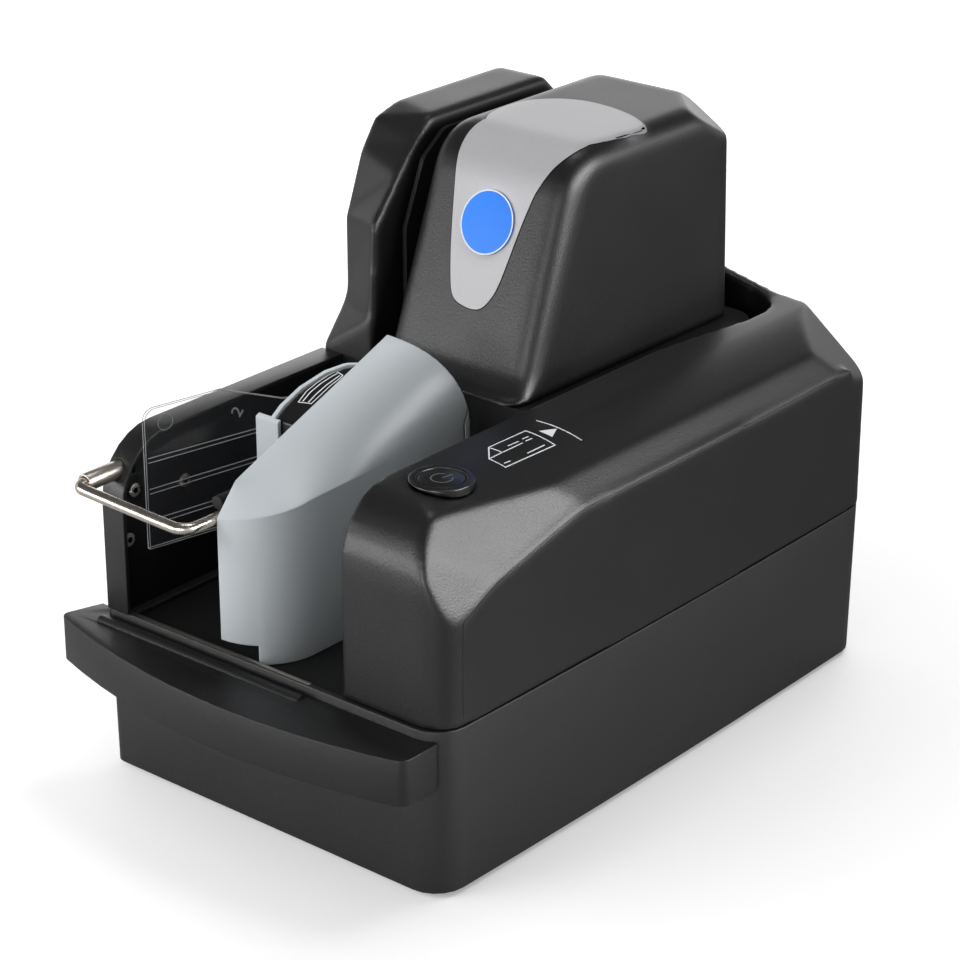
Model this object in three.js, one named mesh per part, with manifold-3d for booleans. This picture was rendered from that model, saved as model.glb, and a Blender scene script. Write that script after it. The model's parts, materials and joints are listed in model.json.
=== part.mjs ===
// Cheque scanner: a desktop machine that feeds, reads and sorts cheques standing on edge.
// Millimetres, +Z up, the front towards -Y and the right-hand side towards +X.
// Working frame: X = 0 in the middle of the base, Y = 0 just behind its front face,
// Z = 0 at its underside. At the end the group is moved, so that its origin is the middle
// of its footprint, on the surface that the feet stand on.

import * as THREE from 'three';
import { mergeVertices } from 'three/addons/utils/BufferGeometryUtils.js';
import Module from 'manifold-3d';

const wasm = await Module();
wasm.setup();

// Clearances and counts shared by all pieces
const gap = 0.3;
const overrun = 6;
const weld = 1e-4;
const farAway = 600;
const sharpestCosine = 0.4;
const cornerSteps = 5;
const roundSides = 20;
const smallSides = 12;

// Base: tub, deck, feet
const base = {
  left: 89.3, right: 89.3, front: 4.8, rear: 286, height: 70.8, wall: 2.6, floor: 3, cornerRadius: 14,
  frontLeftRadius: 5, sideDraft: 1.2, sideBow: 1.8,
};
const deck = { drop: 2.4, thickness: 2.6, bossRadius: 5, bossInset: 16 };
const foot = { radius: 8, height: 2, recess: 1.2, inset: 22 };

// Front tray and the bright strip behind it
const tray = {
  leftReach: 14.7, leftFront: 17.1, leftRear: 1,
  rightInset: 2.3, rightFront: 22, rightRear: 3, middleFront: 34.2,
  leftRadius: 3.4, cornerRadius: 6, topDrop: 3.8, depth: 19.4, wall: 2.4,
  beadRadius: 3, beadSink: 1.2, beadInset: 1.4, beadRightInset: 66,
};
const strip = { leftInset: 6.9, right: 21.8, front: 3.5, thickness: 2.2, height: 1.9 };

// Right-hand and rear cover
const cover = {
  wall: 2.4, front: 3.4, armLeft: 39.3, cornerRadius: 13,
  topInner: 155.5, topFall: 6.7, crownWidth: 18, fallPower: 1.6, bandWidth: 7.5, bandDrop: 10.4,
  frontRoundHeight: 29, frontRoundDepth: 25,
  rearRise: 7.5, rearRiseWidth: 34, rearRiseFar: 20.5, trackWall: 6, rearLeft: 58.9,
  slotKinkY: 196, slotWidest: 7, slotWidestY: 249, slotCornerRadius: 17,
};
const scoop = {
  nearY: 7.9, nearDrop: 34.2, midY: 27.2, midDrop: 24.2, farY: 77, farDrop: 11.4, ridgeInset: 13,
};
const rearCut = { sideInset: 16, sideY: 24, topInset: 38, edgeDrop: 18.8 };
const panel = { thickness: 1.2, front: 7.9, rearInset: 6, foot: 1 };

// Power button on the right-hand cover
const button = {
  x: 59.2, y: 32.9, radius: 9.4, height: 6, bezelRadius: 13, bezelHeight: 3.4, rise: 1,
  travel: 1.2, stemRadius: 2.6, stemLength: 4, flangeWidth: 1,
};
const buttonSwitch = { width: 9, depth: 9, height: 4.2, plungerRadius: 1.8, plungerHeight: 1.2 };
const switchBracket = { width: 24, thickness: 1.6, hangerWidth: 4 };

// Transport core under the tower
const core = {
  front: 118, rear: 270.6, left: 49, rightFront: 33.3, rightKink: 35.7, rightKinkY: 202,
  rightRear: 40.4, rightRearY: 249, top: 149.2, wall: 2.2, frontRadius: 5, rearRadius: 14,
  openingInset: 7,
};

// Tower cover, its silver inlay and the round badge
const tower = {
  front: 115, lipHeight: 1.8, lipDepth: 4, kneeRise: 9.8, kneeDepth: 8.6, slope: 0.37, browRadius: 24,
  top: 247, rear: 266, rearLean: 0.8, rearRadius: 9, left: 49.4, rightFront: 27.3, rightRear: 28.6,
  edgeRound: 9, wall: 2.4, topLean: 1.8,
};
const facet = { sideInset: 34, topInset: 8, cornerInset: 4, topWidth: 24.5, drop: 18 };
const inlay = {
  thickness: 1, recess: 1.3, tipDrop: 66.3, frontLeft: 36, frontWidth: 56, setback: 16.55,
  topLeft: 42, topWidth: 66.5, topDepth: 47.7,
};
const inlayFrontShares = [
  [0.39, 0], [0.49, -0.008], [0.58, 0.006], [0.682, 0.124], [0.745, 0.469], [0.811, 0.715], [0.9, 0.885],
  [0.991, 1], [0.991, 1.1], [0.009, 1.1], [0.009, 1], [0.034, 0.864], [0.075, 0.695], [0.159, 0.35],
  [0.25, 0.09], [0.3, 0.025],
];
const inlayTopShares = [
  [0.098, -0.1], [0.925, -0.1], [0.925, 0], [0.944, 0.12], [0.995, 0.558], [0.985, 0.679], [0.934, 0.755],
  [0.776, 0.889], [0.568, 0.979], [0.346, 1], [0.177, 0.908], [0.045, 0.711], [0.002, 0.457],
  [0.04, 0.13], [0.098, 0],
];
const badge = { radius: 13.5, thickness: 0.9, recess: 0.5, x: 10.4, drop: 32.8 };

// Left-hand covers
const leftCover = {
  setIn: 1.9, inner: 59.2, front: 125.6, wall: 2.4, rearInset: 6,
  outerFootZ: 147, outerKneeY: 139.2, outerKneeZ: 163.6, outerWaistY: 141.4, outerWaistLow: 168.4,
  outerWaistHigh: 202, outerBrowY: 151.6, outerBrowZ: 229, outerShoulderY: 160, outerShoulderZ: 241,
  outerTopY: 175.7, top: 245.4, innerWaistHigh: 206, innerWaistY: 128, innerBrowY: 143.8,
  innerBrowZ: 224.6, innerShoulderY: 155.5, innerShoulderZ: 236.4, innerTopY: 166,
  topRear: 243, rearBrowY: 264, rearBrowZ: 226, rearFootZ: 176, innerFootZ: 150, innerKneeZ: 166,
};
const liner = {
  offset: 2.5, thickness: 2, frontInset: 18, waistZ: 202, browRise: 28, browDepth: 12,
  topInset: 5.4, topDepth: 44, rearInset: 42, cornerRadius: 6,
};
const leftWall = {
  thickness: 11.7, front: 6, top: 146, frontRound: 28, rim: 1.8, web: 1.4, plateThickness: 1.2,
  plateSink: 4.1,
};
const pocketScrew = { headRadius: 2.9, headHeight: 1.3 };
const pocketScrewPlaces = { lowY: -0.4, lowZ: 102, highY: 4, highZ: 122.5, backY: 32, backZ: 117.5 };

// Hopper guide (grey shell), pocket guide and the black insert between them
const guide = {
  leftX: 22.7, noseRadius: 26, noseCentreY: 20, rear: 116.5, wall: 2.6, footCut: 8.4, footCutX: 7.2,
  creaseFront: 129.5, creaseSide: 136, creaseRear: 138.4, edgeFrontY: 5, edgeFrontZ: 142,
  edgeSideY: 33, edgeSideZ: 152.9, edgeRearY: 95, edgeRearZ: 176.4, bulge: 11,
  bulgeOut: 0.8, bulgeUp: 0.6,
};
const insert = {
  right: 23.2, left: 38.3, front: 41.6, rear: 88, wall: 2, frontTop: 153, midY: 61, midTop: 159,
  lateY: 81, lateTop: 164.6, rearTop: 165.4,
};
const insertLeftShares = [[0.8, 0], [0.94, 0.16], [1, 0.42], [0.875, 0.68], [0.56, 0.85]];
const pocketGuide = { thickness: 2, rise: 0.4, hookReach: 44.4, hookThickness: 2 };

// Wire stop across the mouth of the pockets
const wire = {
  diameter: 4.7, z: 132, rightZ: 128, sideInset: 4.5, rightX: 25.3, frontLeft: 23.6, frontRight: 20.9,
  leftBend: 4.2, rightBend: 7, insideLeft: 24, insideRight: 30,
  sleeveRadius: 3.8, sleeveLength: 12.8, sleeveSpigot: 6, collarRadius: 3.6, collarFront: 1,
  pegX: 28.6, pegZ: 132.3, pegRadius: 2.7, pegFront: 0.4,
};
const wireSteps = 6;

// Clear divider between the pockets, on an upright pin
const divider = {
  wallGap: 7, frontY: 1, hingeX: 48, hingeY: 98, thickness: 1.6, low: 100.5, high: 160.4,
  frontRound: 5, slopeStart: 37, slopeEnd: 66, slopeDrop: 11, rearTop: 143, ribHeight: 0.5,
  ribWidth: 0.8, ribPairGap: 1, ribStart: 1, ribEnd: 54, ribPitch: 13.4, firstRib: 112.4,
  knuckleRadius: 3.2, pinRadius: 1.5,
};
const ribCount = 3;

// Gate that sends a cheque to one pocket or the other
const gate = {
  x: 52, y: 111, length: 17, thickness: 1.4, rise: 3.6, high: 112, knuckleRadius: 2.4, pinRadius: 1,
};

// Rollers on upright shafts
const shaft = { radius: 2.5, top: 138, drop: 14.4 };
const feed = { x: 25.8, y: 136, radius: 12, low: 86, high: 108 };
const retard = { radius: 10, low: 86, high: 108, pinRadius: 2.5, footDrop: 8.4 };
const driveA = { x: 28.6, y: 196, radius: 10, low: 92, high: 106 };
const driveB = { x: 42, y: 158, radius: 10, low: 92, high: 106 };
const pinchA = { radius: 7, low: 92, high: 106, pinRadius: 1.5 };
const pinchB = { radius: 3, low: 92, high: 106, pinRadius: 1.5 };
const window = { margin: 1, depth: 8 };

// Belt drive below the deck
const motor = {
  x: 12, y: 206, radius: 21, drop: 9, low: 14, shaftRadius: 2.5, flange: 46, flangeHeight: 2.4,
};
const pulley = { radius: 9, motorRadius: 6.5, drop: 11.4, height: 6.4, lip: 1, lipHeight: 0.8 };
const belt = { thickness: 1.2, height: 4.2 };
const bracket = { thickness: 2, flank: 6 };

// Readers along the track
const imager = {
  width: 12, depth: 15, frontDrop: 9.8, rearDrop: 16.1, frontY: 168, rearY: 150,
  lensDepth: 1, lensWidth: 4,
};
const magnet = { width: 12, depth: 13, height: 15.7, y: 214 };

// Endorsing cartridge in its cradle
const cradle = { x: 3, y: 236, width: 30, depth: 34, height: 62, wall: 2.2, seatHeight: 22 };
const cartridge = { height: 62, neckHeight: 16, neckWidth: 14, grip: 3 };

// Electronics and sockets at the rear
const board = { width: 118, depth: 96, thickness: 1.6, low: 7, rearInset: 9, chip: 16, chipHeight: 2.2 };
const post = { radius: 2.6, inset: 8 };
const powerJack = { x: 34, width: 10, depth: 13, height: 11, bore: 3.2, boreDepth: 8 };
const usbPort = { x: 8, width: 12.4, depth: 15, height: 10.8, mouth: 1.4, mouthDepth: 9 };

// Places worked out from the sizes
const trayLeft = base.left + tray.leftReach;
const trayRight = base.right - tray.rightInset;
const stripLeft = base.left - strip.leftInset;
const right = base.right;
const left = -base.left;
const coverRight = right + base.sideDraft;
const coverBottom = base.height + gap;
const coverRear = base.rear;
const topOuter = cover.topInner - cover.topFall;
const rearTop = cover.topInner + cover.rearRiseFar;
const scoopZ = {
  near: topOuter - scoop.nearDrop, mid: topOuter - scoop.midDrop, far: topOuter - scoop.farDrop,
};
const armX = cover.armLeft;
const trayTop = base.height - tray.topDrop;
const deckTop = base.height - deck.drop;
const pulleyLow = deckTop - pulley.drop;
const motorTop = pulleyLow - motor.drop;
const deckFoot = deckTop + gap;
const frontImagerTop = core.top - imager.frontDrop;
const rearImagerTop = cover.topInner - imager.rearDrop;
const leftOuter = base.left - leftCover.setIn;
const leftRear = base.rear - leftCover.rearInset;
const wallInner = -leftOuter + leftWall.thickness;
const wireLeftX = leftOuter - wire.sideInset;
const dividerFrontX = -wallInner - divider.wallGap;
const retardX = feed.x + feed.radius + gap + retard.radius;
const pinchAX = driveA.x + driveA.radius + gap + pinchA.radius;
const driveBX = -driveB.x;
const pinchBX = driveBX - driveB.radius - gap - pinchB.radius;
const kneeY = tower.front + tower.kneeDepth;
const kneeZ = core.top + gap + tower.kneeRise;
const browY = kneeY + tower.slope * (tower.top - kneeZ);
const inlayNear = browY + inlay.setback;
const badgeZ = tower.top - badge.drop;
const dividerAngle = Math.atan2(dividerFrontX - divider.hingeX, divider.hingeY - divider.frontY);
const guideRight = guide.noseRadius - guide.leftX;

const black = { roughness: 0.55, metalness: 0 };
const finishes = {
  shell: new THREE.MeshStandardMaterial({ color: 0x1b1b1c, ...black }),
  tub: new THREE.MeshStandardMaterial({ color: 0x161617, ...black }),
  inner: new THREE.MeshStandardMaterial({ color: 0x101011, roughness: 0.65, metalness: 0 }),
  grey: new THREE.MeshStandardMaterial({ color: 0xaab2b6, roughness: 0.4, metalness: 0 }),
  silver: new THREE.MeshStandardMaterial({ color: 0xa8a7aa, roughness: 0.35, metalness: 0.6 }),
  blue: new THREE.MeshStandardMaterial({ color: 0x2f72e6, roughness: 0.3, metalness: 0 }),
  steel: new THREE.MeshStandardMaterial({ color: 0xc4beb2, roughness: 0.22, metalness: 1 }),
  clear: new THREE.MeshStandardMaterial({ color: 0x9fa6aa, roughness: 0.08, metalness: 0 }),
  rubber: new THREE.MeshStandardMaterial({ color: 0x2a2a2a, roughness: 0.9, metalness: 0 }),
  board: new THREE.MeshStandardMaterial({ color: 0x1f5a35, roughness: 0.5, metalness: 0 }),
  brass: new THREE.MeshStandardMaterial({ color: 0xb59a5a, roughness: 0.35, metalness: 1 }),
};

const group = new THREE.Group();

// A closed geometry as a solid that can be joined and cut
function solidOf(geometry) {
  const bare = geometry.clone();
  bare.deleteAttribute('normal');
  bare.deleteAttribute('uv');
  const welded = mergeVertices(bare, weld);
  const mesh = new wasm.Mesh({
    numProp: 3,
    vertProperties: new Float32Array(welded.attributes.position.array),
    triVerts: new Uint32Array(welded.index.array),
  });
  return new wasm.Manifold(mesh);
}

// A solid as a geometry
function geometryOf(solid) {
  const mesh = solid.getMesh();
  const geometry = new THREE.BufferGeometry();
  geometry.setAttribute('position', new THREE.BufferAttribute(mesh.vertProperties, mesh.numProp));
  geometry.setIndex(new THREE.BufferAttribute(mesh.triVerts, 1));
  geometry.computeVertexNormals();
  return geometry;
}

// Adds one named piece to the model
function add(name, shape, finish) {
  const geometry = shape.isBufferGeometry ? shape : geometryOf(shape);
  const mesh = new THREE.Mesh(geometry, finish);
  mesh.name = name;
  group.add(mesh);
  return mesh;
}

// An outline [a, b] extruded along one axis: z takes (x, y), x takes (y, z), y takes (x, z)
function prismGeometry(points, axis, from, to) {
  const shape = new THREE.Shape(points.map(([a, b]) => new THREE.Vector2(a, b)));
  const geometry = new THREE.ExtrudeGeometry(shape, { depth: to - from, bevelEnabled: false });
  return alongAxis(geometry, axis, from, to);
}

// Turns an extrusion made along +Z so that it runs along the named axis
function alongAxis(geometry, axis, from, to) {
  if (axis === 'z') return geometry.translate(0, 0, from);
  if (axis === 'y') return geometry.rotateX(Math.PI / 2).translate(0, to, 0);
  const turn = new THREE.Matrix4().makeBasis(
    new THREE.Vector3(0, 1, 0), new THREE.Vector3(0, 0, 1), new THREE.Vector3(1, 0, 0));
  return geometry.applyMatrix4(turn).translate(from, 0, 0);
}

function prism(points, axis, from, to) {
  return solidOf(prismGeometry(points, axis, from, to));
}

function box(x0, x1, y0, y1, z0, z1) {
  const geometry = new THREE.BoxGeometry(x1 - x0, y1 - y0, z1 - z0);
  return solidOf(geometry.translate((x0 + x1) / 2, (y0 + y1) / 2, (z0 + z1) / 2));
}

function upright(x, y, radius, z0, z1, sides = smallSides) {
  const geometry = new THREE.CylinderGeometry(radius, radius, z1 - z0, sides);
  return solidOf(geometry.rotateX(Math.PI / 2).translate(x, y, (z0 + z1) / 2));
}

// A cylinder along Y
function lengthwise(x, z, radius, y0, y1, sides = smallSides) {
  const geometry = new THREE.CylinderGeometry(radius, radius, y1 - y0, sides);
  return solidOf(geometry.translate(x, (y0 + y1) / 2, z));
}

// A cylinder along X
function crosswise(y, z, radius, x0, x1, sides = smallSides) {
  const geometry = new THREE.CylinderGeometry(radius, radius, x1 - x0, sides);
  return solidOf(geometry.rotateZ(Math.PI / 2).translate((x0 + x1) / 2, y, z));
}

function joined(...solids) {
  return solids.reduce((all, next) => all.add(next));
}

// An outline whose corners [x, y, radius] are rounded
function softened(corners, steps = cornerSteps) {
  const points = [];
  corners.forEach(([x, y, radius = 0], i) => {
    if (radius <= 0) {
      points.push([x, y]);
      return;
    }
    const before = corners[(i + corners.length - 1) % corners.length];
    const after = corners[(i + 1) % corners.length];
    const corner = new THREE.Vector2(x, y);
    const back = new THREE.Vector2(before[0], before[1]).sub(corner).normalize();
    const ahead = new THREE.Vector2(after[0], after[1]).sub(corner).normalize();
    const half = Math.acos(THREE.MathUtils.clamp(back.dot(ahead), -1, 1)) / 2;
    const reach = radius / Math.tan(half);
    const middle = back.clone().add(ahead).normalize().multiplyScalar(radius / Math.sin(half)).add(corner);
    const start = back.multiplyScalar(reach).add(corner).sub(middle);
    const end = ahead.multiplyScalar(reach).add(corner).sub(middle);
    const turn = Math.atan2(start.cross(end), start.dot(end));
    for (let k = 0; k <= steps; k += 1) {
      const spoke = start.clone().rotateAround(new THREE.Vector2(), turn * k / steps).add(middle);
      points.push([spoke.x, spoke.y]);
    }
  });
  return points;
}

// An outline moved outwards by a distance, or inwards where the distance is negative
function grown(points, distance) {
  const turning = THREE.ShapeUtils.area(points.map(([a, b]) => new THREE.Vector2(a, b))) > 0 ? 1 : -1;
  return points.map(([a, b], i) => {
    const [pa, pb] = points[(i + points.length - 1) % points.length];
    const [na, nb] = points[(i + 1) % points.length];
    const first = new THREE.Vector2(b - pb, pa - a).normalize().multiplyScalar(turning);
    const second = new THREE.Vector2(nb - b, a - na).normalize().multiplyScalar(turning);
    const normal = first.clone().add(second).normalize();
    const reach = distance / Math.max(normal.dot(first), sharpestCosine);
    return [a + normal.x * reach, b + normal.y * reach];
  });
}

// A closed body through sections that have equally many points
function loft(sections) {
  const count = sections[0].length;
  const positions = sections.flat().flatMap((point) => [point.x, point.y, point.z]);
  const index = [];
  for (let s = 0; s < sections.length - 1; s += 1) {
    for (let k = 0; k < count; k += 1) {
      const a = s * count + k;
      const b = s * count + (k + 1) % count;
      index.push(a, b, b + count, a, b + count, a + count);
    }
  }
  const last = (sections.length - 1) * count;
  capOf(sections[0]).forEach(([a, b, c]) => index.push(a, c, b));
  capOf(sections[sections.length - 1]).forEach(([a, b, c]) => index.push(last + a, last + b, last + c));
  const geometry = new THREE.BufferGeometry();
  geometry.setAttribute('position', new THREE.Float32BufferAttribute(positions, 3));
  geometry.setIndex(index);
  const solid = solidOf(geometry);
  if (solid.volume() > 0) return solid;
  geometry.setIndex(index.map((value, i) => index[i + [0, 1, -1][i % 3]]));
  return solidOf(geometry);
}

// Triangles that close one end of a loft
function capOf(section) {
  const origin = section[0];
  const normal = new THREE.Vector3();
  section.forEach((point, i) => {
    const next = section[(i + 1) % section.length];
    normal.add(point.clone().sub(origin).cross(next.clone().sub(origin)));
  });
  normal.normalize();
  const across = section[1].clone().sub(origin).normalize();
  const up = normal.clone().cross(across);
  const flat = section.map((point) => {
    const offset = point.clone().sub(origin);
    return new THREE.Vector2(offset.dot(across), offset.dot(up));
  });
  return THREE.ShapeUtils.triangulateShape(flat, []);
}

// Takes away all that lies beyond a plane given by three points, on the side of the hint
function cutBeyond(solid, points, hint, inset) {
  const [a, b, c] = points.map((point) => new THREE.Vector3(...point));
  const normal = b.clone().sub(a).cross(c.clone().sub(a)).normalize();
  if (normal.dot(new THREE.Vector3(...hint)) < 0) normal.negate();
  const geometry = new THREE.BoxGeometry(farAway, farAway, farAway);
  geometry.translate(0, 0, farAway / 2 - inset);
  geometry.applyQuaternion(new THREE.Quaternion().setFromUnitVectors(new THREE.Vector3(0, 0, 1), normal));
  geometry.translate(a.x, a.y, a.z);
  return solid.subtract(solidOf(geometry));
}

// Leans the sides of a straight prism outwards as the base's sides lean
function leaned(geometry) {
  const position = geometry.attributes.position;
  for (let i = 0; i < position.count; i += 1) {
    const lean = base.sideDraft * position.getZ(i) / base.height;
    position.setX(i, position.getX(i) + Math.sign(position.getX(i)) * lean);
  }
  return geometry;
}

// How far the sides bulge outwards at a place along Y
function bowAt(y) {
  const share = (y + base.front) / (base.rear + base.front);
  return base.sideBow * 4 * share * (1 - share);
}

// Places along a bulging side, [x, y], from the front corner to the rear one
function bowedSide(x) {
  const steps = 6;
  return Array.from({ length: steps - 1 }, (unused, i) => {
    const y = THREE.MathUtils.lerp(-base.front, base.rear, (i + 1) / steps);
    return [x + Math.sign(x) * bowAt(y), y];
  });
}

function baseOutline(inset) {
  const radius = base.cornerRadius - inset;
  return softened([
    [left + inset, inset - base.front, base.frontLeftRadius - inset],
    [right - inset, inset - base.front, radius],
    ...bowedSide(right - inset), [right - inset, base.rear - inset, radius],
    [left + inset, base.rear - inset, radius], ...bowedSide(left + inset).reverse(),
  ]);
}

function leanedPrism(inset, z0, z1) {
  return solidOf(leaned(prismGeometry(baseOutline(inset), 'z', z0, z1)));
}

// The space that the rim of the tub takes up, with its clearance
function rimSpace() {
  return leanedPrism(-gap, 0, base.height + gap).subtract(leanedPrism(base.wall + gap, -overrun, farAway));
}

// Four places near the corners of the base
function cornerPlaces(inset) {
  return [[left + inset, inset], [right - inset, inset],
    [right - inset, base.rear - inset], [left + inset, base.rear - inset]];
}

function makeTub() {
  let tub = leanedPrism(0, 0, base.height)
    .subtract(leanedPrism(base.wall, base.floor, base.height + overrun));
  const bossTop = deckTop - deck.thickness - gap;
  for (const [x, y] of cornerPlaces(deck.bossInset)) {
    tub = tub.add(upright(x, y, deck.bossRadius, base.floor - gap, bossTop));
  }
  for (const [x, y] of cornerPlaces(foot.inset + foot.radius)) {
    tub = tub.subtract(upright(x, y, foot.radius + gap, -overrun, foot.recess, roundSides));
  }
  for (const [x, y] of boardCorners()) {
    tub = tub.add(upright(x, y, post.radius, base.floor - gap, board.low - gap));
  }
  tub = tub.subtract(box(-stripLeft - gap, strip.right + gap, -strip.front - gap,
    overrun, deckTop, base.height + overrun));
  for (const port of [powerJack, usbPort]) {
    const low = board.low + board.thickness;
    tub = tub.subtract(box(port.x - port.width / 2 - gap, port.x + port.width / 2 + gap,
      base.rear - overrun, base.rear + overrun, low, low + port.height + 2 * gap));
  }
  return tub;
}

function makeDeck() {
  let plate = leanedPrism(base.wall + gap, deckTop - deck.thickness, deckTop);
  const holes = [[feed.x, feed.y], [retardX, feed.y], [driveA.x, driveA.y], [driveBX, driveB.y]];
  for (const [x, y] of holes) {
    plate = plate.subtract(upright(x, y, shaft.radius + gap, 0, deckTop + overrun));
  }
  return plate;
}

function makeFeet() {
  cornerPlaces(foot.inset + foot.radius).forEach(([x, y], i) => {
    const pad = upright(x, y, foot.radius, -foot.height, foot.recess - gap, roundSides);
    add(`foot_${i + 1}`, pad, finishes.rubber);
  });
}

// The tray seen from above: a bowed bar along the front of the base
function trayPlan(inset) {
  const steps = 12;
  const start = new THREE.Vector2(-trayLeft, -tray.leftFront);
  const end = new THREE.Vector2(trayRight, -tray.rightFront);
  const swell = tray.middleFront - (tray.leftFront + tray.rightFront) / 2;
  const bow = Array.from({ length: steps - 1 }, (unused, i) => {
    const share = (i + 1) / steps;
    const point = start.clone().lerp(end, share);
    return [point.x, point.y - swell * 4 * share * (1 - share)];
  });
  const outline = softened([
    [start.x, start.y, tray.leftRadius], ...bow, [end.x, end.y, tray.cornerRadius],
    [trayRight, -tray.rightRear], [-trayLeft + tray.cornerRadius, tray.leftRear]], 4);
  return inset ? grown(outline, -inset) : outline;
}

function makeTray() {
  const bar = prism(trayPlan(0), 'z', trayTop - tray.depth, trayTop);
  const hollow = prism(trayPlan(tray.wall), 'z', 0, trayTop - tray.wall);
  const beadY = -base.front - gap - tray.beadInset - tray.beadRadius;
  const bead = crosswise(beadY, trayTop - tray.beadSink, tray.beadRadius,
    left + tray.beadInset, right - tray.beadRightInset, roundSides);
  return bar.subtract(hollow).add(bead).subtract(leanedPrism(-gap, -overrun, farAway / 2));
}

function makeStrip() {
  const back = strip.thickness - strip.front;
  const outline = softened([
    [back - strip.thickness, deckFoot], [back, deckFoot], [back, deckFoot + strip.height],
    [back - strip.thickness, deckFoot + strip.height, strip.thickness / 3]]);
  return prism(outline, 'x', -stripLeft, strip.right);
}

// Ground plan of the right-hand and rear cover, without the space for the track
function coverPlan(inset) {
  return softened([
    [-cover.rearLeft + inset, -cover.front + inset],
    [coverRight - inset, -cover.front + inset, cover.cornerRadius - inset],
    ...bowedSide(coverRight - inset),
    [coverRight - inset, coverRear - inset, cover.cornerRadius - inset],
    [-cover.rearLeft + inset, coverRear - inset],
  ]);
}

// The space inside the cover's arm and rear wall, in which the track and the tower stand
function trackPlan(inset) {
  const widestX = armX + cover.slotWidest + inset;
  const rear = coverRear - cover.trackWall + inset;
  const near = -cover.front - overrun;
  return softened([
    [-cover.rearLeft - overrun, near], [armX + inset, near], [armX + inset, cover.slotKinkY],
    [widestX, cover.slotWidestY], [widestX, rear, cover.slotCornerRadius],
    [-cover.rearLeft - overrun, rear],
  ]);
}

// Height of the cover's top at a place X: level beside the track, then falling to the right
function coverTopAt(x) {
  const start = armX + cover.crownWidth;
  const share = Math.max(x - start, 0) / (coverRight - cover.bandWidth - start);
  return cover.topInner - (cover.topInner - topOuter) * Math.pow(share, cover.fallPower);
}

// Cross-section of the cover: the top falls to the right, and rises towards the left at the rear
function coverSection(inset) {
  const steps = 4;
  const shoulder = coverRight - cover.bandWidth;
  const crown = Array.from({ length: steps + 1 }, (unused, i) => {
    const x = THREE.MathUtils.lerp(shoulder - inset / 2, armX + cover.crownWidth, i / steps);
    return [x, coverTopAt(x) - inset];
  });
  const brink = topOuter - cover.bandDrop - inset / 2;
  return [
    [coverRight + overrun, -overrun],
    [coverRight + overrun, brink - overrun * cover.bandDrop / cover.bandWidth],
    [coverRight - inset, brink], ...crown, [armX, cover.topInner - inset],
    [armX - cover.rearRiseWidth, cover.topInner + cover.rearRise - inset],
    [-cover.rearLeft - overrun, rearTop - inset], [-cover.rearLeft - overrun, -overrun],
  ];
}

// Side view of the cover: an upright front that rounds over into the top
function coverProfile(inset) {
  const top = cover.topInner;
  const front = -cover.front + inset;
  const steps = 7;
  const round = Array.from({ length: steps + 1 }, (unused, i) => {
    const angle = Math.PI / 2 * i / steps;
    return [front + (cover.frontRoundDepth - inset) * (1 - Math.cos(angle)),
      top - inset - (cover.frontRoundHeight - inset) * (1 - Math.sin(angle))];
  });
  return [[front, -overrun], ...round, [coverRear - cover.trackWall * 3, top - inset],
    [coverRear - cover.trackWall * 2, rearTop + overrun], [coverRear + overrun, rearTop + overrun],
    [coverRear + overrun, -overrun]];
}

// The cover's outer body, all its faces moved inwards by the inset
function coverBody(inset, low) {
  const spanX = [-cover.rearLeft - overrun * 2, coverRight + overrun];
  let body = prism(coverPlan(inset), 'z', low, rearTop + overrun)
    .intersect(prism(coverSection(inset), 'y', -cover.front - overrun, coverRear + overrun))
    .intersect(prism(coverProfile(inset), 'x', ...spanX));
  const edge = coverRight;
  const ridge = coverRight - scoop.ridgeInset;
  const planes = [
    [[edge, scoop.farY, scoopZ.far], [edge, scoop.midY, scoopZ.mid], [ridge, scoop.midY, topOuter]],
    [[edge, scoop.midY, scoopZ.mid], [edge, scoop.nearY, scoopZ.near],
      [ridge, scoop.nearY, topOuter - overrun / 2]],
  ];
  for (const points of planes) {
    body = cutBeyond(body, points, [1, 0, 1], inset);
  }
  const corner = [
    [edge - rearCut.sideInset, coverRear - rearCut.sideY, topOuter + gap],
    [edge - rearCut.topInset, coverRear, cover.topInner],
    [edge - cover.cornerRadius / 4, coverRear - cover.cornerRadius / 4, topOuter - rearCut.edgeDrop],
  ];
  return cutBeyond(body, corner, [1, 1, 1], inset);
}

// The opening in the cover's wall for a roller or reader that reaches into the track
function windowAt(x, y, halfWidth, low, high) {
  return box(x - window.depth, x + window.depth, y - halfWidth - window.margin,
    y + halfWidth + window.margin, low - window.margin, high + window.margin);
}

function makeCover() {
  let shell = coverBody(0, coverBottom).subtract(trackSpace(0));
  const inside = coverBody(cover.wall, -overrun).subtract(trackSpace(cover.wall));
  shell = shell.subtract(inside);
  shell = shell.subtract(upright(button.x, button.y, button.bezelRadius - button.flangeWidth * 2 + gap,
    topOuter - overrun * 3, cover.topInner + overrun, roundSides));
  shell = shell.subtract(windowAt(armX, feed.y, retard.radius, retard.low, retard.high));
  shell = shell.subtract(windowAt(armX, driveA.y, pinchA.radius, pinchA.low, pinchA.high));
  shell = shell.subtract(windowAt(armX, imager.rearY + imager.depth / 2, imager.depth / 2,
    deckFoot, rearImagerTop));
  return shell.subtract(panelSpace());
}

function trackSpace(inset) {
  return prism(trackPlan(inset), 'z', -overrun * 2, rearTop + overrun * 2);
}

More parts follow.
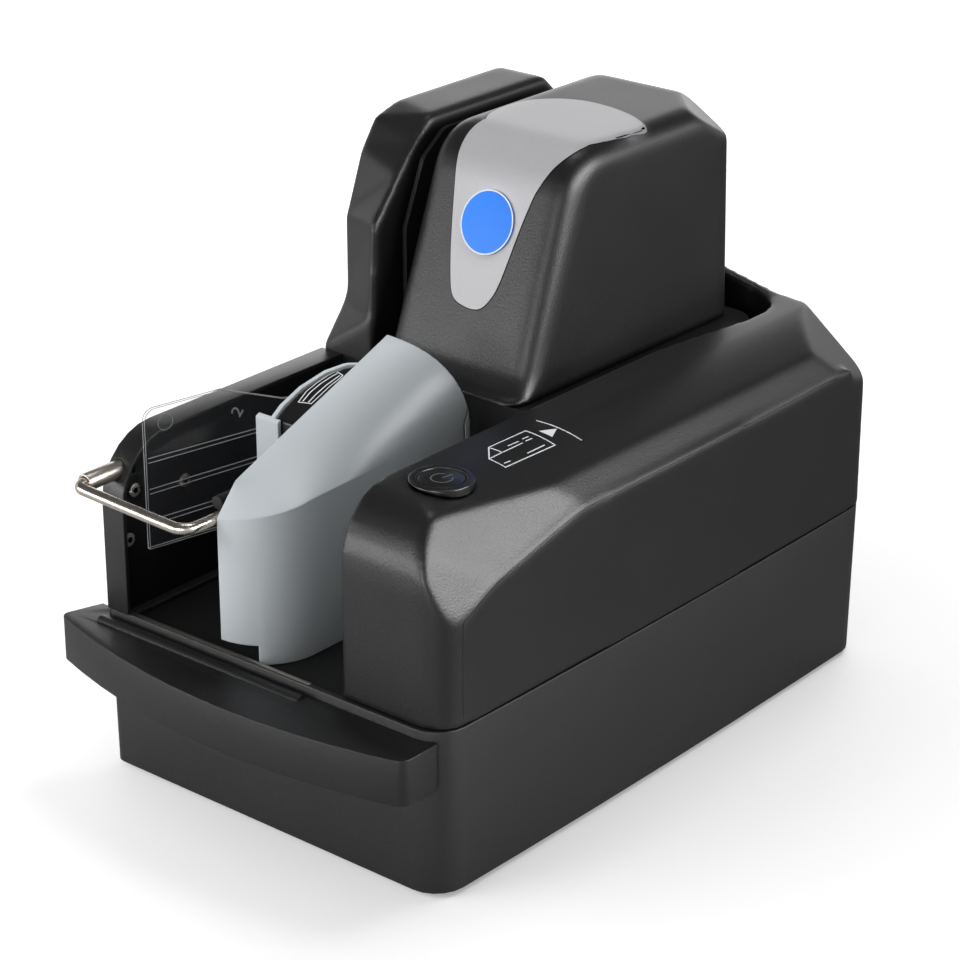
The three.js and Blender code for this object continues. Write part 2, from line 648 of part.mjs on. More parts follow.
// Outline of the flat panel on the right-hand side, seen from the side
function panelOutline() {
  const rear = coverRear - cover.cornerRadius - panel.rearInset;
  return [
    [panel.front, coverBottom + panel.foot], [rear, coverBottom + panel.foot],
    [rear, topOuter - cover.bandDrop - gap],
    [scoop.farY, scoopZ.far - gap], [(scoop.farY + scoop.midY) / 2, (scoopZ.far + scoopZ.mid) / 2],
    [scoop.midY, scoopZ.mid - gap], [scoop.nearY, scoopZ.near - gap],
  ];
}

// The panel follows the bulge of the cover's side
function makePanel() {
  const skin = prism(coverPlan(0), 'z', coverBottom, cover.topInner)
    .subtract(prism(coverPlan(panel.thickness), 'z', 0, cover.topInner + overrun));
  return skin.intersect(prism(panelOutline(), 'x', right - overrun, coverRight + overrun));
}

// The shallow recess for the panel, with its clearance
function panelSpace() {
  const skin = prism(coverPlan(-overrun), 'z', 0, cover.topInner)
    .subtract(prism(coverPlan(panel.thickness + gap), 'z', -overrun, cover.topInner + overrun));
  return skin.intersect(prism(grown(panelOutline(), gap), 'x', right - overrun, coverRight + overrun * 2));
}

function makeButton() {
  const surface = coverTopAt(button.x);
  const low = surface - button.bezelHeight;
  const flange = upright(button.x, button.y, button.bezelRadius, low, surface + button.rise + gap,
    roundSides).subtract(prism(coverSection(-gap), 'y', -overrun, coverRear));
  const neck = upright(button.x, button.y, button.bezelRadius - button.flangeWidth * 2, low - cover.wall,
    surface + button.rise, roundSides);
  const bore = upright(button.x, button.y, button.radius + gap, low - overrun * 2, surface + overrun,
    roundSides);
  add('button_bezel', flange.add(neck).subtract(bore), finishes.inner);
  const cap = upright(button.x, button.y, button.radius, surface + button.rise - button.height,
    surface + button.rise, roundSides);
  const stem = upright(button.x, button.y, button.stemRadius,
    surface + button.rise - button.height - button.stemLength, surface + button.rise - button.height + gap);
  add('power_button', cap.add(stem), finishes.inner);
  const plungerTop = surface + button.rise - button.height - button.stemLength - button.travel - gap;
  const body = box(button.x - buttonSwitch.width / 2, button.x + buttonSwitch.width / 2,
    button.y - buttonSwitch.depth / 2, button.y + buttonSwitch.depth / 2,
    plungerTop - buttonSwitch.plungerHeight - buttonSwitch.height, plungerTop - buttonSwitch.plungerHeight);
  const plunger = upright(button.x, button.y, buttonSwitch.plungerRadius,
    plungerTop - buttonSwitch.plungerHeight - gap, plungerTop);
  add('button_switch', body.add(plunger), finishes.inner);
  makeSwitchBracket(plungerTop - buttonSwitch.plungerHeight - buttonSwitch.height - gap, low - cover.wall);
}

// The bracket below the switch, which hangs from the bezel
function makeSwitchBracket(top, bezelFoot) {
  const half = switchBracket.width / 2;
  let bracket = box(button.x - half, button.x + half, button.y - switchBracket.hangerWidth,
    button.y + switchBracket.hangerWidth, top - switchBracket.thickness, top);
  const ring = button.bezelRadius - button.flangeWidth * 2;
  const halfHanger = switchBracket.hangerWidth / 2;
  for (const side of [-1, 1]) {
    const near = button.x + side * (ring - switchBracket.thickness);
    const far = button.x + side * ring;
    bracket = bracket.add(box(Math.min(near, far), Math.max(near, far),
      button.y - halfHanger, button.y + halfHanger, top - gap, bezelFoot - gap));
  }
  add('switch_bracket', bracket, finishes.steel);
}

// Ground plan of the transport core
function corePlan(inset) {
  return softened([
    [-core.left + inset, core.front + inset, core.frontRadius - inset],
    [core.rightFront - inset, core.front + inset, core.frontRadius - inset],
    [core.rightKink - inset, core.rightKinkY], [core.rightRear - inset, core.rightRearY],
    [core.rightRear - inset, core.rear - inset, core.rearRadius - inset],
    [-core.left + inset, core.rear - inset, core.rearRadius - inset],
  ]);
}

function makeCore() {
  let walls = prism(corePlan(0), 'z', deckFoot, core.top)
    .subtract(prism(corePlan(core.wall), 'z', 0, core.top - core.wall));
  const opening = box(-core.left + core.openingInset, tower.rightFront - core.openingInset,
    core.front + core.openingInset, core.rear - core.openingInset * 2, 0, core.top + overrun);
  walls = walls.subtract(opening);
  walls = walls.subtract(windowAt(core.rightFront, feed.y, feed.radius, feed.low, feed.high));
  walls = walls.subtract(windowAt(core.rightKink, driveA.y, driveA.radius, driveA.low, driveA.high));
  walls = walls.subtract(windowAt(-core.left, driveB.y, driveB.radius, driveB.low, driveB.high));
  walls = walls.subtract(windowAt(core.rightKink, imager.frontY + imager.depth / 2, imager.depth / 2,
    deckFoot, frontImagerTop));
  return walls.subtract(windowAt(core.rightKink, magnet.y + magnet.depth / 2, magnet.depth / 2,
    deckFoot, deckFoot + magnet.height));
}

// Side view of the tower: a flared foot, a leaning front, a level top and an upright rear
function towerProfile(inset, low) {
  const foot = towerFoot();
  return softened([
    [tower.front + inset, low], [tower.front + inset, foot + tower.lipHeight, gap],
    [tower.front + tower.lipDepth + inset, foot + tower.lipHeight * 2, tower.lipHeight],
    [kneeY + inset, kneeZ, tower.kneeRise / 2],
    [browY + inset, tower.top - inset, tower.browRadius - inset],
    [tower.rear - tower.rearLean - inset, tower.top - inset, tower.rearRadius],
    [tower.rear - inset, low],
  ], 5);
}

function towerFoot() {
  return core.top + gap;
}

// The tower's body: rounded along both sides, its right-hand side spreading towards the rear
function towerBody(inset, low) {
  const steps = 4;
  const x0 = -tower.left + inset;
  const x1 = tower.rightFront - inset;
  const rounding = Math.max(tower.edgeRound - inset, tower.edgeRound / 2);
  const leftSide = Array.from({ length: steps + 1 }, (unused, i) => {
    const angle = Math.PI / 2 * i / steps;
    return [x0 + rounding * (1 - Math.cos(angle)), rounding * (1 - Math.sin(angle))];
  });
  const rightSide = leftSide.map(([x, extra]) => [x1 - (x - x0), extra]).reverse();
  return loft([...leftSide, ...rightSide].map(([x, extra]) => {
    const share = (x - x0) / (x1 - x0);
    return towerProfile(inset + extra, low).map(([y, z]) => {
      const rearward = (y - tower.front) / (tower.rear - tower.front);
      const upward = Math.max(z - towerFoot(), 0) / (tower.top - towerFoot());
      const spread = (tower.rightRear - tower.rightFront) * rearward - tower.topLean * upward;
      return new THREE.Vector3(x + spread * share, y, z);
    });
  }));
}

function makeTower() {
  const low = towerFoot() - overrun * 2;
  const keep = box(-farAway, farAway, 0, farAway, towerFoot(), farAway);
  const outside = facetCut(towerBody(0, low).intersect(keep), 0);
  const inside = facetCut(towerBody(tower.wall, low), tower.wall);
  return outside.subtract(inside).subtract(inlayBody(inlay.recess, gap, overrun));
}

// Cuts the slanted facet off the tower's rear corner, on the right
function facetCut(solid, inset) {
  const side = tower.rightRear - tower.topLean;
  const points = [
    [side, tower.rear - facet.sideInset, tower.top],
    [side - facet.topWidth, tower.rear - facet.topInset, tower.top],
    [tower.rightRear, tower.rear - facet.cornerInset, tower.top - facet.drop],
  ];
  return cutBeyond(solid, points, [1, 1, 1], inset);
}

// The inlay's outline on the front, as (x, z), and on the top, as (x, y)
function inlayFront(growth) {
  const tip = tower.top - inlay.tipDrop;
  const outline = inlayFrontShares.map(([across, up]) => [
    inlay.frontWidth * across - inlay.frontLeft, tip + inlay.tipDrop * up]);
  return grown(outline, growth);
}

function inlayTop(growth) {
  const outline = inlayTopShares.map(([across, back]) => [
    inlay.topWidth * across - inlay.topLeft, inlayNear + inlay.topDepth * back]);
  return grown(outline, growth);
}

// The skin of the tower down to a depth, inside the inlay's outline
function inlayBody(depth, growth, above) {
  const x0 = -tower.left;
  const x1 = tower.rightRear;
  const outside = prism(towerProfile(-above, 0), 'x', x0, x1);
  const skin = outside.subtract(prism(towerProfile(depth, 0), 'x', x0 - overrun, x1 + overrun));
  const split = inlayNear;
  const front = skin.intersect(prism(inlayFront(growth), 'y', 0, split));
  const top = skin.intersect(prism(inlayTop(growth), 'z', tower.top - tower.rearRadius, farAway))
    .intersect(box(-farAway, farAway, split - weld, farAway, 0, farAway));
  return front.add(top);
}

// Middle of the badge and the direction that it faces, on the tower's leaning front
function badgeSeat() {
  const place = new THREE.Vector3(-badge.x, kneeY + tower.slope * (badgeZ - kneeZ), badgeZ);
  return { place, facing: new THREE.Vector3(0, -1, tower.slope).normalize() };
}

// A disc on the leaning front, between two heights above its surface
function frontDisc(radius, from, to) {
  const { place, facing } = badgeSeat();
  const geometry = new THREE.CylinderGeometry(radius, radius, to - from, roundSides * 2);
  geometry.translate(0, (from + to) / 2, 0);
  geometry.applyQuaternion(new THREE.Quaternion().setFromUnitVectors(new THREE.Vector3(0, 1, 0), facing));
  return solidOf(geometry.translate(place.x, place.y, place.z));
}

function makeInlay() {
  return inlayBody(inlay.thickness, 0, 0).subtract(frontDisc(badge.radius + gap, -badge.recess, overrun));
}

function makeBadge() {
  const floor = gap - badge.recess;
  return frontDisc(badge.radius, floor, floor + badge.thickness);
}

// Side views of the left-hand cover at its outer and inner faces, with matching points
function leftCoverOuter() {
  const c = leftCover;
  return [[c.front, deckFoot], [c.front, c.outerFootZ], [c.outerKneeY, c.outerKneeZ],
    [c.outerWaistY, c.outerWaistLow], [c.outerWaistY, c.outerWaistHigh], [c.outerBrowY, c.outerBrowZ],
    [c.outerShoulderY, c.outerShoulderZ], [c.outerTopY, c.top], [c.topRear, c.top],
    [c.rearBrowY, c.rearBrowZ], [leftRear, c.rearFootZ], [leftRear, deckFoot]];
}

function leftCoverInner() {
  const c = leftCover;
  return [[c.front, deckFoot], [c.front, c.innerFootZ], [c.front, c.innerKneeZ],
    [c.front, c.outerWaistLow + c.wall], [c.innerWaistY, c.innerWaistHigh], [c.innerBrowY, c.innerBrowZ],
    [c.innerShoulderY, c.innerShoulderZ], [c.innerTopY, c.top], [c.topRear, c.top],
    [c.rearBrowY, c.rearBrowZ], [leftRear, c.rearFootZ], [leftRear, deckFoot]];
}

function leftCoverBody(inset) {
  const outerFace = inset ? grown(leftCoverOuter(), -inset) : leftCoverOuter();
  const innerFace = inset ? grown(leftCoverInner(), -inset) : leftCoverInner();
  const at = (points, x) => points.map(([y, z]) => new THREE.Vector3(x, y, z));
  return loft([at(outerFace, -leftOuter + inset), at(innerFace, -leftCover.inner - inset)]);
}

function makeLeftCover() {
  const inside = leftCoverBody(leftCover.wall);
  const bottom = box(-leftOuter + leftCover.wall, -leftCover.inner - leftCover.wall,
    leftCover.front + leftCover.wall, leftRear - leftCover.wall, 0, deckFoot + overrun);
  return leftCoverBody(0).subtract(inside).subtract(bottom).subtract(rimSpace());
}

// The plate that forms the outer side of the exit track
function makeLiner() {
  const x1 = -leftCover.inner + liner.offset + liner.thickness;
  const front = leftCover.front + liner.frontInset;
  const top = leftCover.top - liner.topInset;
  const outline = softened([
    [front, deckFoot], [front, liner.waistZ, liner.cornerRadius],
    [front + liner.browDepth, liner.waistZ + liner.browRise, liner.cornerRadius],
    [leftCover.front + liner.topDepth, top, liner.cornerRadius],
    [leftRear - liner.rearInset, top, liner.cornerRadius], [leftRear - liner.rearInset, deckFoot],
  ]);
  const plate = prism(outline, 'x', x1 - liner.thickness, x1);
  return plate.subtract(windowAt(x1, driveB.y, pinchB.radius, deckFoot, pinchB.high + overrun));
}

// Side view of the left-hand pocket wall, moved inwards by the inset
function leftWallOutline(inset) {
  const foot = deckFoot + inset;
  return softened([
    [-leftWall.front + inset, foot],
    [-leftWall.front + inset, leftWall.top - inset, leftWall.frontRound - inset],
    [leftCover.front - gap - inset, leftWall.top - inset], [leftCover.front - gap - inset, foot],
  ], 7);
}

function makeLeftWall() {
  const outer = prism(leftWallOutline(0), 'x', -leftOuter, wallInner);
  const hollow = prism(leftWallOutline(leftWall.rim), 'x', -leftOuter + leftWall.web, wallInner + overrun);
  const stripSpace = box(-leftOuter - overrun, wallInner + overrun, -leftWall.front - overrun,
    strip.thickness - strip.front + gap, 0, base.height + gap);
  return outer.subtract(hollow).subtract(sleeveBore()).subtract(rimSpace()).subtract(stripSpace);
}

// The hole in the wall's front in which the wire's sleeve sits
function sleeveBore() {
  return lengthwise(-wireLeftX, wire.z, wire.sleeveRadius + gap, -leftWall.front - overrun,
    wire.sleeveSpigot, roundSides);
}

// The room for the wire's left-hand end behind the pocket's plate
function wireRoom() {
  return lengthwise(-wireLeftX, wire.z, wire.diameter / 2 + gap, -leftWall.front,
    wire.insideLeft + gap * 2);
}

function makePocketPlate() {
  const face = wallInner - leftWall.plateSink;
  return prism(leftWallOutline(leftWall.rim + gap), 'x', face - leftWall.plateThickness, face)
    .subtract(sleeveBore()).subtract(wireRoom());
}

function makePocketScrews() {
  const p = pocketScrewPlaces;
  const seat = wallInner - leftWall.plateSink + gap;
  [[p.lowY, p.lowZ], [p.highY, p.highZ], [p.backY, p.backZ]].forEach(([y, z], i) => {
    const head = crosswise(y, z, pocketScrew.headRadius, seat, seat + pocketScrew.headHeight, roundSides);
    const slot = box(seat + pocketScrew.headHeight / 2, seat + overrun, y - pocketScrew.headRadius * 2,
      y + pocketScrew.headRadius * 2, z - gap, z + gap);
    add(`pocket_screw_${i + 1}`, head.subtract(slot), finishes.steel);
  });
}

// Stations along the hopper guide, from the tip of its nose to its rear edge
function guideStations(inset) {
  const turnSteps = 10;
  const runSteps = 8;
  const stations = [];
  for (let i = 0; i <= turnSteps; i += 1) {
    const share = i / turnSteps;
    const angle = Math.PI / 2 * share;
    const radius = guide.noseRadius - inset;
    stations.push({
      x: -guide.leftX + radius * Math.sin(angle), y: guide.noseCentreY - radius * Math.cos(angle),
      crease: THREE.MathUtils.lerp(guide.creaseFront, guide.creaseSide, share),
      edgeY: THREE.MathUtils.lerp(guide.edgeFrontY, guide.edgeSideY, share * share),
      edgeZ: THREE.MathUtils.lerp(guide.edgeFrontZ, guide.edgeSideZ, share * share), bulge: 0,
    });
  }
  for (let i = 1; i <= runSteps; i += 1) {
    const share = i / runSteps;
    stations.push({
      x: guideRight - inset, y: THREE.MathUtils.lerp(guide.noseCentreY, guide.rear, share),
      crease: THREE.MathUtils.lerp(guide.creaseSide, guide.creaseRear, share),
      edgeY: THREE.MathUtils.lerp(guide.edgeSideY, guide.edgeRearY, share),
      edgeZ: THREE.MathUtils.lerp(guide.edgeSideZ, guide.edgeRearZ, share), bulge: guide.bulge * share,
    });
  }
  return stations;
}

// The filled body below the guide's roof, all its faces moved inwards by the inset
function guideBody(inset, low, openSide) {
  const roofSteps = 10;
  const sections = guideStations(inset).map((station) => {
    const side = -guide.leftX - openSide;
    const section = [new THREE.Vector3(station.x, station.y, low)];
    for (let k = 0; k <= roofSteps; k += 1) {
      const share = k / roofSteps;
      const swell = station.bulge * 4 * share * (1 - share);
      section.push(new THREE.Vector3(
        THREE.MathUtils.lerp(station.x, -guide.leftX, share) + swell * guide.bulgeOut,
        THREE.MathUtils.lerp(station.y, station.edgeY, share),
        THREE.MathUtils.lerp(station.crease, station.edgeZ, share) + swell * guide.bulgeUp - inset));
    }
    if (openSide) section.push(new THREE.Vector3(side, station.edgeY, station.edgeZ - inset));
    section.push(new THREE.Vector3(side, station.edgeY, low));
    return section;
  });
  return loft(sections);
}

function makeGuide() {
  const inside = guideBody(guide.wall, 0, overrun);
  const openRear = box(-guide.leftX - overrun, guideRight - guide.wall + gap * 2, guide.edgeRearY - overrun,
    guide.rear + overrun, 0, guide.creaseSide - guide.wall);
  const footCut = box(-farAway, -guide.footCutX, -farAway, guide.noseCentreY, 0, deckFoot + guide.footCut);
  return guideBody(0, deckFoot, 0).subtract(inside).subtract(openRear).subtract(footCut);
}

// Side view of the black insert, its top rising in an arc towards the rear
function insertOutline(rise, foot) {
  const i = insert;
  return [[i.front - overrun, foot], [i.front - overrun, i.frontTop + rise - overrun / 2],
    [i.front, i.frontTop + rise], [i.midY, i.midTop + rise], [i.lateY, i.lateTop + rise],
    [i.rear + overrun, i.rearTop + rise], [i.rear + overrun, foot]];
}

// Ground plan of the insert: its left-hand side bulges, then turns in behind the hopper guide
function insertPlan(growth) {
  const bulge = insertLeftShares.map(([across, back]) => [
    THREE.MathUtils.lerp(-insert.right, -insert.left, across),
    THREE.MathUtils.lerp(insert.front, insert.rear, back)]);
  return grown([[-insert.right, insert.front], ...bulge, [-insert.right, insert.rear]], growth);
}

function makeInsert() {
  const span = [-insert.left - overrun * 2, -insert.right + overrun];
  const outer = prism(insertPlan(0), 'z', deckFoot, insert.rearTop + overrun)
    .intersect(prism(insertOutline(0, 0), 'x', ...span));
  const hollow = prism(insertPlan(-insert.wall), 'z', 0, insert.rearTop)
    .intersect(prism(insertOutline(-insert.wall, -overrun), 'x', ...span));
  return outer.subtract(hollow);
}

// The grey strip along the insert's left-hand side, with a lip folded out at its front
function makePocketGuide() {
  const inner = gap;
  const outer = gap + pocketGuide.thickness;
  const front = insert.front - pocketGuide.hookThickness;
  const strip = prism(insertPlan(outer), 'z', deckFoot, insert.rearTop + overrun)
    .subtract(prism(insertPlan(inner), 'z', 0, insert.rearTop + overrun * 2))
    .intersect(box(-farAway, -insert.right - insert.wall, front, insert.rear - insert.wall, 0, farAway))
    .subtract(box(-insert.left + insert.wall * 3, farAway, 0, insert.front + insert.wall, 0, farAway));
  const foldX = THREE.MathUtils.lerp(-insert.right, -insert.left, insertLeftShares[0][0]) - inner;
  const fold = box(-pocketGuide.hookReach, foldX, front, front + pocketGuide.hookThickness,
    deckFoot, farAway);
  const span = [-insert.left - overrun * 3, -insert.right + overrun];
  const profile = prism(insertOutline(pocketGuide.rise, 0), 'x', ...span);
  return strip.add(fold).intersect(profile);
}

// Centre line of the wire, seen from above: out of the sleeve, across the mouth and back into the collar
function wireCorners() {
  return [
    [-wireLeftX, wire.insideLeft], [-wireLeftX, -wire.frontLeft, wire.leftBend],
    [-wire.rightX, -wire.frontRight, wire.rightBend], [-wire.rightX, wire.insideRight],
  ];
}

// Places of the wire's rings: the ends, and evenly round each bend, sinking towards the right
function wirePlaces() {
  return softened(wireCorners(), wireSteps).map(([x, y]) => {
    const share = (x + wireLeftX) / (wireLeftX - wire.rightX);
    return new THREE.Vector3(x, y, THREE.MathUtils.lerp(wire.z, wire.rightZ, share));
  });
}

function makeWire() {
  const sides = 10;
  const places = wirePlaces();
  const rings = places.map((place, i) => {
    const before = places[Math.max(i - 1, 0)];
    const after = places[Math.min(i + 1, places.length - 1)];
    const heading = after.clone().sub(before).normalize();
    const across = new THREE.Vector3(heading.y, -heading.x, 0);
    return Array.from({ length: sides }, (unused, k) => {
      const angle = Math.PI * 2 * k / sides;
      return place.clone().addScaledVector(across, Math.cos(angle) * wire.diameter / 2)
        .add(new THREE.Vector3(0, 0, Math.sin(angle) * wire.diameter / 2));
    });
  });
  return loft(rings);
}

function makeSleeve() {
  const front = -leftWall.front - gap - wire.sleeveLength;
  const tube = lengthwise(-wireLeftX, wire.z, wire.sleeveRadius, front, leftWall.rim - leftWall.front
    + wire.sleeveSpigot, roundSides);
  return tube.subtract(lengthwise(-wireLeftX, wire.z, wire.diameter / 2 + gap, front - overrun,
    leftWall.rim + wire.sleeveSpigot + overrun));
}

// The tube that takes the wire's right-hand leg, with a peg beside it
function makeCollar() {
  const rear = insert.front - gap;
  const tube = lengthwise(-wire.rightX, wire.rightZ, wire.collarRadius, wire.collarFront, rear, roundSides);
  const peg = lengthwise(-wire.pegX, wire.pegZ, wire.pegRadius, wire.pegFront, rear, roundSides);
  const bore = lengthwise(-wire.rightX, wire.rightZ, wire.diameter / 2 + gap, wire.collarFront - overrun,
    insert.front + overrun);
  return tube.add(peg).subtract(bore);
}

// The divider, made along Y with its hinge at the origin and turned to its place
function makeDivider() {
  const d = divider;
  const length = Math.hypot(dividerFrontX - d.hingeX, d.hingeY - d.frontY);
  const outline = softened([
    [-length, d.low], [-length, d.high, d.frontRound], [d.slopeStart - length, d.high],
    [d.slopeEnd - length, d.high - d.slopeDrop], [-d.knuckleRadius / 2, d.rearTop],
    [-d.knuckleRadius / 2, d.low],
  ]);
  let sheet = prism(outline, 'x', -d.thickness / 2, d.thickness / 2);
  for (let i = 0; i < ribCount; i += 1) {
    for (const side of [-1, 1]) {
      const z = d.firstRib + d.ribPitch * i + side * d.ribPairGap;
      sheet = sheet.add(box(d.thickness / 2 - gap, d.thickness / 2 + d.ribHeight, d.ribStart - length,
        d.ribEnd - length, z - d.ribWidth / 2, z + d.ribWidth / 2));
    }
  }
  const knuckle = upright(0, 0, d.knuckleRadius, d.low, d.rearTop);
  const bore = upright(0, 0, d.pinRadius + gap, d.low - overrun, d.rearTop + overrun);
  const geometry = geometryOf(sheet.add(knuckle).subtract(bore));
  const piece = add('pocket_divider', geometry, finishes.clear);
  piece.position.set(-d.hingeX, d.hingeY, 0);
  piece.rotation.z = -dividerAngle;
  const pin = upright(-d.hingeX, d.hingeY, d.pinRadius, deckFoot, d.rearTop + gap * 4);
  add('divider_pin', pin, finishes.steel);
}

function makeGate() {
  const g = gate;
  const low = deckTop + g.rise;
  const blade = box(-g.x - g.thickness / 2, -g.x + g.thickness / 2, g.y, g.y + g.length, low, g.high);
  const knuckle = upright(-g.x, g.y, g.knuckleRadius, low, g.high);
  const bore = upright(-g.x, g.y, g.pinRadius + gap, low - overrun, g.high + overrun);
  add('pocket_gate', blade.add(knuckle).subtract(bore), finishes.inner);
  add('gate_pin', upright(-g.x, g.y, g.pinRadius, deckFoot, g.high + gap * 4, 8), finishes.steel);
}

// A driven roller: a rubber tyre round an upright shaft
function makeDrivenRoller(name, x, y, roller) {
  const ring = upright(x, y, roller.radius, roller.low, roller.high, roundSides)
    .subtract(upright(x, y, shaft.radius + gap, roller.low - overrun, roller.high + overrun));
  add(`${name}_roller`, ring, finishes.rubber);
  add(`${name}_shaft`, upright(x, y, shaft.radius, deckTop - shaft.drop, shaft.top), finishes.steel);
}

// An idle roller and its stub shaft, moulded as one
function makeIdleRoller(name, x, y, roller, low) {
  const wheel = upright(x, y, roller.radius, roller.low, roller.high, roundSides);
  const stub = upright(x, y, roller.pinRadius, low, roller.high + overrun);
  add(`${name}_roller`, wheel.add(stub), finishes.inner);
}

function makeRollers() {
  makeDrivenRoller('feed', feed.x, feed.y, feed);
  makeDrivenRoller('entry_drive', driveA.x, driveA.y, driveA);
  makeDrivenRoller('exit_drive', driveBX, driveB.y, driveB);
  makeIdleRoller('retard', retardX, feed.y, retard, deckTop - retard.footDrop);
  makeIdleRoller('entry_pinch', pinchAX, driveA.y, pinchA, deckFoot);
  makeIdleRoller('exit_pinch', pinchBX, driveB.y, pinchB, deckFoot);
}

// A flanged pulley round a shaft
function makePulley(name, x, y, radius, bore) {
  const z0 = pulleyLow;
  const z1 = pulleyLow + pulley.height;
  const body = joined(
    upright(x, y, radius, z0, z1, roundSides),
    upright(x, y, radius + pulley.lip, z0, z0 + pulley.lipHeight, roundSides),
    upright(x, y, radius + pulley.lip, z1 - pulley.lipHeight, z1, roundSides));
  add(name, body.subtract(upright(x, y, bore + gap, z0 - overrun, z1 + overrun)), finishes.brass);
}

// The belt's outline round all pulleys, at a distance from their rims
function beltOutline(wheels, distance) {
  const normals = wheels.map((wheel, i) => {
    const next = wheels[(i + 1) % wheels.length];
    const dx = next.x - wheel.x;
    const dy = next.y - wheel.y;
    const length = Math.hypot(dx, dy);
    const sine = (wheel.radius - next.radius) / length;
    const cosine = Math.sqrt(1 - sine * sine);
    return Math.atan2((dy * sine - dx * cosine) / length, (dx * sine + dy * cosine) / length);
  });
  return wheels.flatMap((wheel, i) => {
    const start = normals[(i + wheels.length - 1) % wheels.length];
    const turn = THREE.MathUtils.euclideanModulo(normals[i] - start, Math.PI * 2);
    return Array.from({ length: cornerSteps + 2 }, (unused, k) => {
      const angle = start + turn * k / (cornerSteps + 1);
      const reach = wheel.radius + distance;
      return [wheel.x + reach * Math.cos(angle), wheel.y + reach * Math.sin(angle)];
    });
  });
}

function makeDrive() {
  const wheels = [
    { name: 'feed_pulley', x: feed.x, y: feed.y, radius: pulley.radius, bore: shaft.radius },
    { name: 'entry_drive_pulley', x: driveA.x, y: driveA.y, radius: pulley.radius, bore: shaft.radius },
    { name: 'motor_pulley', x: -motor.x, y: motor.y, radius: pulley.motorRadius, bore: motor.shaftRadius },
    { name: 'exit_drive_pulley', x: driveBX, y: driveB.y, radius: pulley.radius, bore: shaft.radius },
  ];
  for (const wheel of wheels) {
    makePulley(wheel.name, wheel.x, wheel.y, wheel.radius, wheel.bore);
  }
  const middle = pulleyLow + pulley.height / 2;
  const span = [middle - belt.height / 2, middle + belt.height / 2];
  const loop = prism(beltOutline(wheels, gap + belt.thickness), 'z', ...span)
    .subtract(prism(beltOutline(wheels, gap), 'z', middle - belt.height, middle + belt.height));
  add('drive_belt', loop, finishes.rubber);
  makeMotor();
}

function makeMotor() {
  const half = motor.flange / 2;
  const can = upright(-motor.x, motor.y, motor.radius, motor.low, motorTop, roundSides);
  const flange = box(-motor.x - half, -motor.x + half, motor.y - half, motor.y + half,
    motorTop - motor.flangeHeight, motorTop);
  const spindle = upright(-motor.x, motor.y, motor.shaftRadius, motorTop - gap, pulleyLow + pulley.height);
  add('motor', joined(can, flange, spindle), finishes.steel);
  const deckUnder = deckTop - deck.thickness;
  const shelfFoot = motorTop + gap;
  const shelfTop = shelfFoot + bracket.thickness;
  const reach = half + bracket.flank;
  const shelf = box(-motor.x - half, -motor.x + half, motor.y - reach, motor.y + reach,
    shelfFoot, shelfTop);
  const shaftHole = upright(-motor.x, motor.y, motor.shaftRadius + gap * 2, motorTop,
    shelfTop + overrun);
  let frame = shelf.subtract(shaftHole);
  for (const y of [motor.y - reach, motor.y + reach - bracket.thickness]) {
    frame = frame.add(box(-motor.x - half, -motor.x + half, y, y + bracket.thickness,
      shelfFoot, deckUnder - gap));
  }
  add('motor_bracket', frame, finishes.steel);
}

// The two image readers and the magnetic reader, each reaching through a wall to the track
function makeReaders() {
  const frontX = core.rightFront - gap;
  const frontBody = box(frontX - imager.width, frontX, imager.frontY, imager.frontY + imager.depth,
    deckFoot, frontImagerTop);
  const frontLens = box(frontX - gap, frontX + imager.lensDepth, imager.frontY + imager.lensWidth,
    imager.frontY + imager.depth - imager.lensWidth, deckFoot + imager.lensWidth,
    frontImagerTop - imager.lensWidth);
  add('front_image_reader', frontBody.add(frontLens), finishes.inner);
  const rearX = armX + gap;
  const rearBody = box(rearX, rearX + imager.width, imager.rearY, imager.rearY + imager.depth,
    deckFoot, rearImagerTop);
  add('rear_image_reader', rearBody, finishes.inner);
  const headX = core.rightKink + magnet.width / 10;
  const head = box(headX - magnet.width, headX, magnet.y, magnet.y + magnet.depth, deckFoot,
    deckFoot + magnet.height);
  add('magnetic_reader', head, finishes.silver);
}

function makeCartridge() {
  const x0 = cradle.x - cradle.width / 2;
  const y0 = cradle.y - cradle.depth / 2;
  const x1 = x0 + cradle.width;
  const y1 = y0 + cradle.depth;
  const w = cradle.wall;
  const seat = deckFoot + cradle.seatHeight;
  const rim = deckFoot + cradle.height;
  const frame = box(x0, x1, y0, y1, deckFoot, rim)
    .subtract(box(x0 + w, x1 - w, y0 + w, y1 - w, seat, rim + overrun))
    .subtract(box(x0 + w, x1 - w, y0 + w, y1 - w, 0, seat - w));
  add('cartridge_cradle', frame, finishes.inner);
  const low = deckFoot + cradle.seatHeight + gap;
  const slack = w + gap;
  const tank = box(x0 + slack, x1 - slack, y0 + slack, y1 - slack, low, low + cartridge.height);
  const neck = box(cradle.x - cartridge.neckWidth / 2, cradle.x + cartridge.neckWidth / 2,
    y1 - slack - cartridge.neckHeight, y1 - slack - cartridge.grip, low + cartridge.height - gap,
    low + cartridge.height + cartridge.neckHeight);
  add('ink_cartridge', tank.add(neck), finishes.inner);
}

function boardCorners() {
  const x0 = -board.width / 2;
  const y1 = base.rear - board.rearInset;
  const y0 = y1 - board.depth;
  const i = post.inset;
  return [[x0 + i, y0 + i], [-x0 - i, y0 + i], [-x0 - i, y1 - i], [x0 + i, y1 - i]];
}

